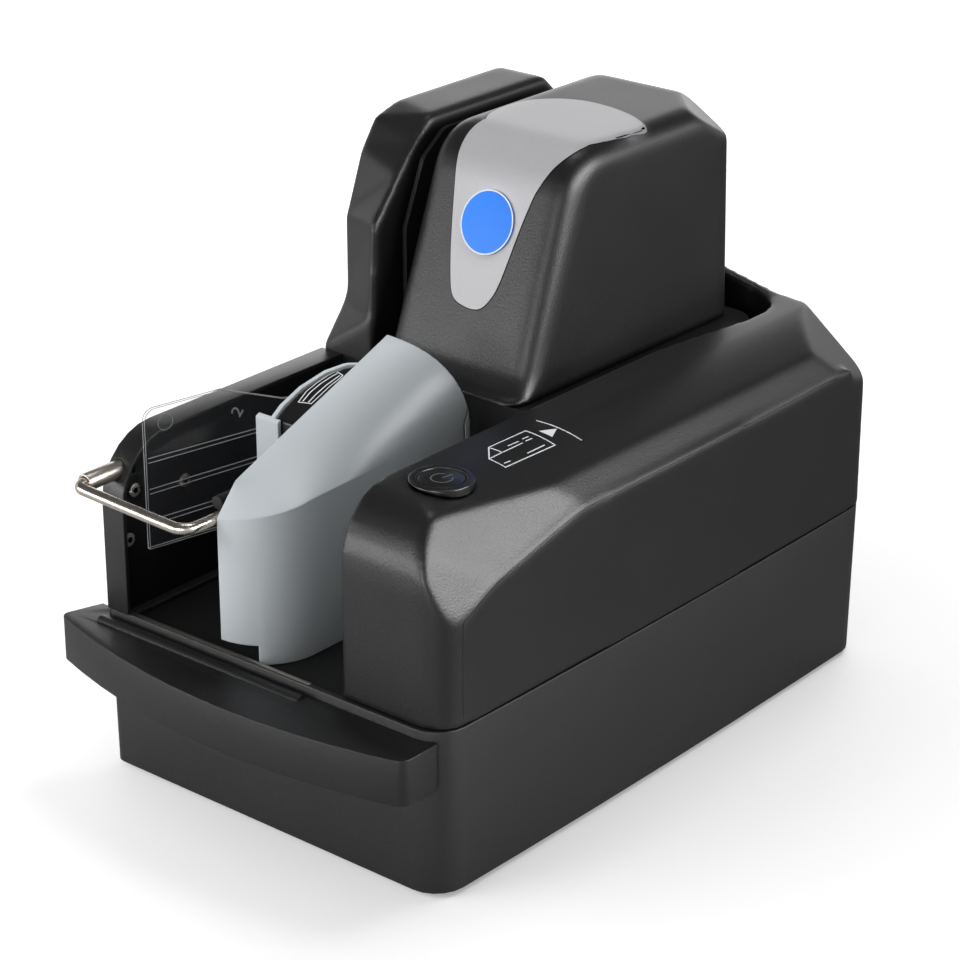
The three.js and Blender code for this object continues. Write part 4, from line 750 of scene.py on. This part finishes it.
def without(path, unwanted):
    """The same line without the places that a test picks out."""
    chosen(path, "VERT", "vertices", lambda vertex: unwanted(vertex.co))
    bpy.ops.mesh.delete(type="VERT")
    closed()
    return path


def seam_line(path, name, target, radius):
    """A fine dark line along a path that is first laid on a skin: painted shade standing in for a narrow gap.
    """
    modified(path, "SHRINKWRAP", target=target, wrap_method="NEAREST_SURFACEPOINT", wrap_mode="ABOVE_SURFACE",
             offset=-SUNK * radius)
    path.name = name
    return piped(path, radius)


def piped(path, radius):
    """A mesh of bare edges as fine round lines."""
    only(path)
    bpy.ops.object.convert(target="CURVE")
    path.data.bevel_depth = radius
    path.data.bevel_resolution = 1
    path.data.use_fill_caps = True
    bpy.ops.object.convert(target="MESH")
    return smoothed(path, ROD_CREASE)


def edge_lines(node, name, radius):
    """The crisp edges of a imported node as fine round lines; those of a narrow rib are one."""
    path = merged_copy(node, name)
    opened(path, "DESELECT", "EDGE")
    bpy.ops.mesh.edges_select_sharp(sharpness=SKIN_CREASE)
    delete_others("EDGE")
    bpy.ops.mesh.select_all(action="SELECT")
    bpy.ops.mesh.delete(type="ONLY_FACE")
    bpy.ops.mesh.select_all(action="SELECT")
    bpy.ops.mesh.remove_doubles(threshold=RIB)
    closed()
    return piped(path, radius)


def flat_shape(name, outlines):
    """Closed outlines filled as one flat mesh that faces up; one inside another is a hole."""
    shape = bpy.data.curves.new(name, "CURVE")
    shape.dimensions = "2D"
    shape.fill_mode = "FRONT"
    for outline in outlines:
        spline = shape.splines.new("POLY")
        spline.points.add(len(outline) - 1)
        for point, place in zip(spline.points, outline):
            point.co = (place[0], place[1], 0, 1)
        spline.use_cyclic_u = True
    piece = bpy.data.objects.new(name, shape)
    bpy.context.scene.collection.objects.link(piece)
    only(piece)
    bpy.ops.object.convert(target="MESH")
    opened(piece)
    bpy.ops.mesh.remove_doubles(threshold=SAME_OUTLINE_POINT)
    bpy.ops.mesh.dissolve_degenerate(threshold=SAME_OUTLINE_POINT)
    bpy.ops.mesh.normals_make_consistent(inside=False)
    facing(piece, (0, 0, -1), 0)
    bpy.ops.mesh.flip_normals()
    closed()
    return piece


def ruled(piece, step):
    """Cuts a flat piece into an even grid, so that it can follow a bend."""
    low = [min(vertex.co[axis] for vertex in piece.data.vertices) for axis in (0, 1)]
    high = [max(vertex.co[axis] for vertex in piece.data.vertices) for axis in (0, 1)]
    opened(piece)
    for axis, normal in ((0, (1, 0, 0)), (1, (0, 1, 0))):
        for number in range(1, math.ceil((high[axis] - low[axis]) / step)):
            place = [share * (low[axis] + number * step) for share in normal]
            bpy.ops.mesh.select_all(action="SELECT")
            bpy.ops.mesh.bisect(plane_co=place, plane_no=normal)
    closed()
    return piece


def strokes(name, shapes):
    """Flat shapes as one finely ruled piece; each is a list of outlines and is filled by itself."""
    parts = [ruled(flat_shape(name, outlines), GRID) for outlines in shapes]
    only(*parts)
    bpy.ops.object.join()
    return parts[0]


def in_metres(outline):
    return [(x * MM, y * MM) for x, y in outline]


def placed(piece, origin, across, up):
    """Turns a flat piece so that its X runs along one direction and its face along another."""
    across = Vector(across).normalized()
    up = Vector(up).normalized()
    turn = Matrix((across, up.cross(across), up)).transposed().to_4x4()
    piece.matrix_world = Matrix.Translation(Vector(origin)) @ turn
    return piece


def fixed(piece, thickness):
    """Writes a sheet's place into its mesh, and makes it a closed body that stands off its face."""
    only(piece)
    bpy.ops.object.transform_apply(location=True, rotation=True, scale=True)
    modified(piece, "SOLIDIFY", thickness=thickness, offset=1.0)
    opened(piece)
    bpy.ops.mesh.normals_make_consistent(inside=False)
    closed()
    return piece


def laid_on(piece, target, lift, thickness):
    """Lays a flat piece on another one along its own Z, and gives it a thickness."""
    modified(piece, "SHRINKWRAP", target=target, wrap_method="PROJECT", use_project_z=True,
             use_negative_direction=True, use_positive_direction=False, offset=lift)
    return fixed(piece, thickness)


def laid_from_above(piece, node, target):
    """Lays a mark that is drawn in the frame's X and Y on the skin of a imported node, from above."""
    placed(piece, (0, 0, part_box(node)[1].z + HELD_OVER), (1, 0, 0), (0, 0, 1))
    return laid_on(piece, target, SKIN_LIFT, bpy.context.scene.scanner_marks.height)


def circle(radius, start=0.0, end=2 * math.pi, steps=48):
    """Points along a circle round the origin, or an arc of it."""
    angles = [start + (end - start) * step / steps for step in range(steps + 1)]
    places = [(radius * math.cos(a), radius * math.sin(a)) for a in angles]
    return places[:-1] if end - start >= 2 * math.pi else places


def arc_band(radius, width, start, end):
    """A band along an arc, as one closed outline."""
    return circle(radius + width / 2, start, end) + circle(radius - width / 2, start, end)[::-1]


def bar(start, end, width):
    """A straight band between two places, as one closed outline."""
    run = (Vector(end) - Vector(start)).normalized() * (width / 2)
    side = Vector((-run.y, run.x))
    corners = ((start, 1), (end, 1), (end, -1), (start, -1))
    return [tuple(Vector(place) + turn * side) for place, turn in corners]


def inset_outline(outline, width):
    """The outline moved inwards, or outwards by a negative width, with its corners kept sharp."""
    points = [Vector(place) for place in outline]
    area = sum(a.x * b.y - b.x * a.y for a, b in zip(points, points[1:] + points[:1]))
    sign = 1 if area > 0 else -1
    moved = []
    for before, here, after in zip(points[-1:] + points[:-1], points, points[1:] + points[:1]):
        first = (here - before).normalized()
        second = (after - here).normalized()
        inward = (Vector((-first.y, first.x)) + Vector((-second.y, second.x))) * sign
        reach = inward.normalized()
        share = reach.dot(Vector((-first.y, first.x)) * sign)
        moved.append(tuple(here + reach * (width / max(share, LEAST_REACH))))
    return moved


class SCANNER_OT_housing(ScannerOperator, bpy.types.Operator):
    """Make the right-hand cover as one soft moulding, with the fine seam of its side panel drawn as a line of
    painted shade
    """
    bl_idname = "scanner.housing"
    bl_label = "Right-hand cover"

    def execute(self, context):
        edges = context.scene.scanner_edges
        low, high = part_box("right_cover")
        filler = grown_panel("side_panel")
        cover = melted("housing_shell", edges.skin, merged_copy("right_cover", "housing_shell"), filler)
        track = high.x - edges.arm_width
        relaxed(cover, LONG_HEM_PASSES, lambda place: past(place.z, low.z, HEM_BAND))
        relaxed(cover, edges.passes, lambda place: (
            past(place.z, low.z, SOFT_BAND) * past(place.x, track, SOFT_BAND)))
        modified(cover, "DECIMATE", ratio=edges.kept)
        smoothed(cover, SKIN_CREASE)
        seam = without(rim_path("side_panel", (1, 0, 0), 0.7, PANEL_ROUNDS), lambda place: (
            place.y > high.y - SEAM_END or place.z < low.z + SEAM_FOOT))
        dressed(cover, "base", "shell", "shell", "right_cover", "side_panel")
        # The seam is a dark tube of painted shade, sunk into the skin
        dressed(seam_line(seam, "panel_seam", cover, edges.seam), "base", "shell", "gap")
        return {"FINISHED"}


class SCANNER_OT_pictogram(ScannerOperator, bpy.types.Operator):
    """Print the loading pictogram on the right-hand cover: a cheque, an arrow and a stop line"""
    bl_idname = "scanner.pictogram"
    bl_label = "Loading pictogram"

    def execute(self, context):
        marks = context.scene.scanner_marks
        sheet = [(57.62, -57.39), (58.07, -34.87), (73.89, -35.44), (73.17, -65.59), (64.8, -65.77)]
        dashes = [
            ((58.4, -57.4), (64.7, -57.37)), ((64.78, -57.0), (64.78, -45.03)),
            ((64.9, -64.9), (64.76, -57.8)), ((62.57, -51.26), (62.86, -45.03)),
            ((62.54, -42.28), (62.72, -38.7)), ((64.55, -42.71), (64.8, -39.07)),
            ((70.74, -63.55), (71.02, -60.0)), ((71.24, -49.99), (71.22, -39.26)),
            ((54.87, -24.18), (77.19, -23.41)),
        ]
        arrow = [(62.43, -31.84), (65.92, -24.9), (69.07, -31.79)]

        sheet = in_metres(sheet)
        shapes = [[sheet, inset_outline(sheet, marks.line)], [in_metres(arrow)]]
        shapes += [[bar(*in_metres(dash), marks.line)] for dash in dashes]
        piece = strokes("loading_mark", shapes)
        laid_from_above(piece, "right_cover", bpy.data.objects["housing_shell"])
        dressed(piece, "base", "shell", "print")
        return {"FINISHED"}


class SCANNER_OT_tower(ScannerOperator, bpy.types.Operator):
    """Make the tower cover, its silver inlay and the bare round badge"""
    bl_idname = "scanner.tower"
    bl_label = "Tower cover"

    def execute(self, context):
        edges = context.scene.scanner_edges
        marks = context.scene.scanner_marks
        front = Vector((0, -0.6, 0.8))
        tower = soft_skin("tower_shell", edges.skin, edges.passes, "tower_cover", "tower_inlay")
        lowered(tower, "tower_cover")
        rim = rim_path("tower_inlay", front, 0.5, INLAY_ROUNDS)
        plate = self.plate(rim, tower, front)
        smoothed(tower, SKIN_CREASE)
        dressed(tower, "tower_lid", "shell", "shell", "tower_cover")
        # The gap round the inlay is likewise a dark tube of painted shade
        dressed(seam_line(rim, "inlay_gap", tower, edges.rim), "tower_lid", "shell", "gap")
        smoothed(plate, SKIN_CREASE)
        dressed(plate, "tower_lid", "silver", "lacquer", "tower_inlay")
        badge = softened_copy("round_badge", "badge_dome", edges.fine / 2)
        low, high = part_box("round_badge")
        badge_way = (0, -0.9, 0.35)
        facing(badge, badge_way, 0.9)
        closed()
        face = max((face for face in badge.data.polygons if face.select), key=lambda face: face.area)
        normal = face.normal.copy()
        radius = (high.x - low.x) / 2
        middle = Vector(((high.x + low.x) / 2, face.center.y, face.center.z))
        band = flat_shape("badge_ring", [circle(radius), circle(radius - marks.badge_ring)])
        placed(band, middle + normal * LIFT, (1, 0, 0), normal)
        fixed(band, marks.height)
        dressed(band, "tower_lid", "blue", "print")
        return {"FINISHED"}

    def plate(self, rim, tower, front):
        """The silver sheet inside the rim, laid on the tower with an even grid over its bend."""
        across = Vector((1, 0, 0))
        along = front.cross(across)
        only(rim)
        bpy.ops.object.duplicate()
        line = bpy.context.object
        bpy.ops.object.convert(target="CURVE")
        places = [point.co.to_3d() for point in line.data.splines[0].points]
        bpy.data.objects.remove(line)
        middle = sum(places, Vector()) / len(places)
        outline = [((place - middle).dot(across), (place - middle).dot(along)) for place in places]
        sheet = ruled(flat_shape("inlay_plate", [outline]), INLAY_GRID)
        placed(sheet, middle + front * INLAY_START, across, front)
        return laid_on(sheet, tower, INLAY_LIFT, INLAY_HEIGHT)


class SCANNER_OT_left_side(ScannerOperator, bpy.types.Operator):
    """Make the left-hand cover, the pocket's wall, plate and screws"""
    bl_idname = "scanner.left_side"
    bl_label = "Left-hand cover and pocket wall"

    def execute(self, context):
        edges = context.scene.scanner_edges
        marks = context.scene.scanner_marks
        cover = soft_skin("left_shell", edges.skin, edges.passes, "left_cover")
        smoothed(cover, SKIN_CREASE)
        dressed(cover, "left_lid", "shell", "shell", "left_cover")
        softened_copy("left_wall", "pocket_wall", edges.usual)
        softened_copy("pocket_plate", "pocket_lining", edges.fine, "wall")
        for number in range(1, 4):
            screw = f"pocket_screw_{number}"
            softened_copy(screw, f"screw_head_{number}", edges.fine)
            low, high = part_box(screw)
            middle = (low + high) / 2
            # The socket is no recess: a flat dark hexagon of painted shade lies on the head
            socket = flat_shape(f"screw_socket_{number}", [circle(marks.socket, steps=6)])
            placed(socket, (high.x + LIFT, middle.y, middle.z), (0, 1, 0), (1, 0, 0))
            dressed(fixed(socket, marks.height), body_of(screw), "inner", "gap")
        return {"FINISHED"}


class SCANNER_OT_guides(ScannerOperator, bpy.types.Operator):
    """Make the pale hopper guide, the pocket guide, and the black insert with its printed band"""
    bl_idname = "scanner.guides"
    bl_label = "Guides"

    def execute(self, context):
        edges = context.scene.scanner_edges
        softened_copy("hopper_guide", "hopper_shell", edges.usual)
        softened_copy("pocket_guide", "pocket_rim", edges.fine)
        block = soft_skin("insert_block", edges.fine_skin, BLOCK_PASSES, "guide_insert")
        smoothed(block, SKIN_CREASE)
        dressed(block, "base", "inner", "wall", "guide_insert")
        outer = [(-28.83, -72.69), (-30.69, -65.41), (-30.63, -59.06), (-29.93, -53.37), (-28.8, -49.6)]
        inner = [(-23.7, -50.9), (-23.39, -53.32), (-23.58, -58.76), (-23.0, -65.02), (-22.6, -71.2)]
        lines = [
            [(-27.26, -71.4), (-28.47, -65.43), (-28.54, -58.94), (-27.71, -53.4), (-26.9, -50.9)],
            [(-24.6, -70.9), (-25.3, -65.3), (-25.6, -58.9), (-25.2, -53.4), (-25.0, -51.7)],
        ]
        frame_line = in_metres(outer + inner)
        shapes = [[frame_line, inset_outline(frame_line, BAND_FRAME)]]
        half = BAND_LINE / 2
        for line in lines:
            places = in_metres(line)
            left = [(x - half, y) for x, y in places]
            right = [(x + half, y) for x, y in places]
            shapes.append([left + right[::-1]])
        band = strokes("insert_band", shapes)
        laid_from_above(band, "guide_insert", block)
        dressed(band, "base", "inner", "print")
        return {"FINISHED"}


class SCANNER_OT_button(ScannerOperator, bpy.types.Operator):
    """Make the power button, its symbol and the ring round it"""
    bl_idname = "scanner.button"
    bl_label = "Power button"

    def execute(self, context):
        edges = context.scene.scanner_edges
        marks = context.scene.scanner_marks
        softened_copy("button_bezel", "button_ring", edges.usual, "button")
        cap = softened_copy("power_button", "button_cap", edges.fine, "button")
        low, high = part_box("power_button")
        middle = (low + high) / 2
        width = marks.line * 0.8
        start = math.radians(125)
        end = math.radians(415)
        stem = bar((0, marks.symbol * 0.1), (0, marks.symbol * 1.25), width)
        turned = (1, -0.17, 0)
        # The engraving is drawn as raised grey strokes of painted highlight
        symbol = flat_shape("button_symbol", [arc_band(marks.symbol, width, start, end), stem])
        placed(symbol, (middle.x, middle.y, high.z + HELD_OVER), turned, (0, 0, 1))
        laid_on(symbol, cap, LIFT, marks.height)
        dressed(symbol, "power_key", "inner", "symbol")
        return {"FINISHED"}


class SCANNER_OT_wire(ScannerOperator, bpy.types.Operator):
    """Make the wire stop, its sleeve and its collar"""
    bl_idname = "scanner.wire"
    bl_label = "Wire stop"

    def execute(self, context):
        edges = context.scene.scanner_edges
        rod = merged_copy("wire_stop", "wire_rod")
        modified(rod, "SUBSURF", levels=2, render_levels=2)
        modified(rod, "DISPLACE", strength=edges.swell, mid_level=0.0)
        smoothed(rod, ROD_CREASE)
        dressed(rod, "wire", "steel", "wire", "wire_stop")
        softened_copy("wire_sleeve", "wire_ferrule", edges.fine)
        softened_copy("wire_collar", "wire_socket", edges.fine)
        return {"FINISHED"}


class SCANNER_OT_divider(ScannerOperator, bpy.types.Operator):
    """Make the clear divider, with its edges, its figure and its gate mark drawn as grey lines of painted
    glint
    """
    bl_idname = "scanner.divider"
    bl_label = "Clear divider"

    def execute(self, context):
        marks = context.scene.scanner_marks
        sheet = merged_copy("pocket_divider", "divider_sheet")
        smoothed(sheet)
        dressed(sheet, "divider", "clear", "clear", "pocket_divider")
        # The edges are grey tubes of painted glint, standing in for the light that clear edges catch
        glints = edge_lines("pocket_divider", "divider_glints", marks.glint / 2)
        dressed(glints, "divider", "clear", "glint")
        face = Vector((0.978, -0.209, 0))
        level = Vector((0.209, 0.978, 0))
        upright = Vector((0, 0, 1))
        figure_place = Vector((-53.35, -82.18, 151.14)) * MM
        ring_place = Vector((-60.5, -115.7, 155.5)) * MM
        slant = level * 0.6 + upright * 0.8
        figure = self.figure(marks.figure)
        rings = [circle(marks.gate_ring), circle(marks.gate_ring - GATE_RING)]
        gate = flat_shape("divider_gate_mark", rings)
        # The figure and the gate mark are moulded in the clear sheet; they are drawn in the painted-glint
        # grey
        for piece, place, across in ((figure, figure_place, slant), (gate, ring_place, level)):
            placed(piece, place, across, face)
            fixed(piece, marks.height)
            dressed(piece, "divider", "clear", "glint")
        return {"FINISHED"}

    def figure(self, height):
        bpy.ops.object.text_add()
        figure = bpy.context.object
        figure.name = "divider_figure"
        figure.data.body = "2"
        figure.data.size = height
        figure.data.align_x = "CENTER"
        figure.data.align_y = "CENTER"
        bpy.ops.object.convert(target="MESH")
        opened(figure)
        bpy.ops.mesh.remove_doubles(threshold=SAME_OUTLINE_POINT)
        closed()
        return figure


class SCANNER_OT_carried(ScannerOperator, bpy.types.Operator):
    """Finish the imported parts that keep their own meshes"""
    bl_idname = "scanner.carried"
    bl_label = "Parts inside"

    def execute(self, context):
        for node, carried in frame["nodes"].items():
            material = finish_named(slot_of(node))
            for place in carried.material_slots:
                place.material = material
            if not carried.material_slots:
                carried.data.materials.append(material)
        return {"FINISHED"}


# Each lamp's place from the middle of the object, its width and height, its setting and its kind of light
LAMPS = (
    ("key_lamp", (0.15, 0.55, 1.3), 0.8, 0.6, "key_watts", "diffuse"),
    ("front_card", (-0.75, -1.25, 0.13), 1.2, 0.3, "front_watts", "glossy"),
    ("side_card", (1.3, 0.33, 0.46), 1.2, 0.5, "side_watts", "glossy"),
    ("top_card", (-0.1, 0.3, 1.4), 0.5, 0.25, "top_watts", "glossy"),
    ("rear_card", (-0.8, 1.25, 0.28), 1.2, 0.5, "rear_watts", "glossy"),
    ("edge_card", (0.45, -1.3, 0.22), 0.7, 0.3, "edge_watts", "glossy"),
    ("fill_lamp", (-0.7, -1.1, 0.6), 1.0, 0.6, "fill_watts", "diffuse"),
)


class SCANNER_OT_stage(ScannerOperator, bpy.types.Operator):
    """Lay the floor, hang the lamps and place the camera"""
    bl_idname = "scanner.stage"
    bl_label = "Stage"

    def execute(self, context):
        stage = context.scene.scanner_stage
        make_floor(stage)
        make_world(stage)
        middle = (cad_bounds[0] + cad_bounds[1]) / 2
        for name, place, width, height, watts, kind in LAMPS:
            make_lamp(name, middle + Vector(place), middle, width, height, getattr(stage, watts), kind)
        make_camera(stage)
        context.scene.view_settings.view_transform = "Standard"
        return {"FINISHED"}


def make_floor(stage):
    if "FINISHED" not in bpy.ops.mesh.primitive_plane_add(size=stage.floor_size):
        raise RuntimeError("the floor could not be added")
    floor = bpy.context.object
    floor.name = "floor"
    f = Finish("pale floor")
    speck = f.noise(3.0, 2.0)
    gloss = f.node("ShaderNodeLightPath", "Is Glossy Ray")
    behind = ((f.dot(f.place, AWAY) - BEHIND_START) / BEHIND_WIDTH).clamped()
    darkened = gloss * (behind * (1.0 - NEAR_SHARE) + NEAR_SHARE) * stage.floor_mirror
    shader = f.node("ShaderNodeBsdfPrincipled", 0, None, {
        "Base Color": f.blend(darkened + speck * 0.01, colours().floor, (0, 0, 0)),
        "Roughness": 0.6,
    })
    distance = f.node("ShaderNodeVectorMath", "Value", {"operation": "LENGTH"}, {0: f.place})
    far = ((distance - FAR_START) / FAR_WIDTH).clamped()
    glow = f.node("ShaderNodeEmission", 0, None, {
        "Color": (1.0, 1.0, 1.0), "Strength": f.seen_directly() * (far * stage.far_glow + stage.floor_glow)})
    f.ends("ShaderNodeOutputMaterial", f.node("ShaderNodeAddShader", 0, None, {0: shader, 1: glow}))
    floor.data.materials.append(f.material)


def make_world(stage):
    """White where it is seen, dim overhead in gloss as above a studio's sweep, and plain for the light."""
    world = bpy.data.worlds.new("studio")
    bpy.context.scene.world = world
    f = Tree(world)

    def background(strength):
        return f.node("ShaderNodeBackground", 0, None, {"Color": (1.0, 1.0, 1.0), "Strength": strength})

    def mixed(share, first, second):
        return f.node("ShaderNodeMixShader", 0, None, {0: share, 1: first, 2: second})

    way = f.node("ShaderNodeTexCoord", "Generated")
    x, y, z = (f.node("ShaderNodeSeparateXYZ", axis, None, {0: way}) for axis in "XYZ")
    height = ((z - stage.sweep * (1.0 - SWEEP_FADE)) / (stage.sweep * SWEEP_FADE)).clamped()
    side = x * DIM_SIDE[0] + y * DIM_SIDE[1]
    gloss = background(1.0 - height * (1.0 - stage.overhead))
    plain = background(stage.ambient - side * stage.lean)
    lit = mixed(f.node("ShaderNodeLightPath", "Is Glossy Ray"), plain, gloss)
    f.ends("ShaderNodeOutputWorld", mixed(f.seen_directly(), lit, background(1.0)))


def make_lamp(name, place, target, width, height, watts, light_kind):
    """A rectangle of light aimed at the object, for its plain light or for its gloss alone."""
    light = bpy.data.lights.new(name, "AREA")
    light.shape = "RECTANGLE"
    light.size = width
    light.size_y = height
    light.energy = watts
    lamp = bpy.data.objects.new(name, light)
    lamp.location = place
    lamp.rotation_euler = (target - Vector(place)).to_track_quat("-Z", "Y").to_euler()
    lamp.visible_diffuse = light_kind == "diffuse"
    lamp.visible_glossy = light_kind == "glossy"
    lamp.visible_camera = False
    bpy.context.scene.collection.objects.link(lamp)


def make_camera(stage):
    view = bpy.data.cameras.new("camera")
    view.lens = stage.lens
    view.sensor_width = 36
    camera = bpy.data.objects.new("camera", view)
    flat = math.cos(stage.elevation)
    turn = stage.azimuth
    back = Vector((math.sin(turn) * flat, -math.cos(turn) * flat, math.sin(stage.elevation)))
    camera.location = stage.place
    camera.rotation_euler = (-back).to_track_quat("-Z", "Y").to_euler()
    bpy.context.scene.collection.objects.link(camera)
    bpy.context.scene.camera = camera


# Panel, registration and the run

OPERATORS = (
    SCANNER_OT_carried, SCANNER_OT_base, SCANNER_OT_housing, SCANNER_OT_pictogram, SCANNER_OT_tower,
    SCANNER_OT_left_side, SCANNER_OT_guides, SCANNER_OT_button, SCANNER_OT_wire, SCANNER_OT_divider,
    SCANNER_OT_stage,
)


class SCANNER_PT_panel(bpy.types.Panel):
    """Lists the scanner's operators in the order in which they run"""
    bl_idname = "SCANNER_PT_panel"
    bl_label = "Cheque scanner"
    bl_space_type = "VIEW_3D"
    bl_region_type = "UI"
    bl_category = "Scanner"

    def draw(self, context):
        for operator in OPERATORS:
            self.layout.operator(operator.bl_idname)


GROUPS = {
    "scanner_edges": ScannerEdges, "scanner_marks": ScannerMarks, "scanner_colours": ScannerColours,
    "scanner_stage": ScannerStage,
}
CLASSES = (*GROUPS.values(), *OPERATORS, SCANNER_PT_panel)


def register():
    for item in CLASSES:
        bpy.utils.register_class(item)
    for name, group in GROUPS.items():
        setattr(bpy.types.Scene, name, PointerProperty(type=group))


def unregister():
    for name in GROUPS:
        delattr(bpy.types.Scene, name)
    for item in reversed(CLASSES):
        bpy.utils.unregister_class(item)


def main():
    register()
    for operator in OPERATORS:
        family, name = operator.bl_idname.split(".")
        getattr(getattr(bpy.ops, family), name)()


if __name__ == "__main__":
    main()
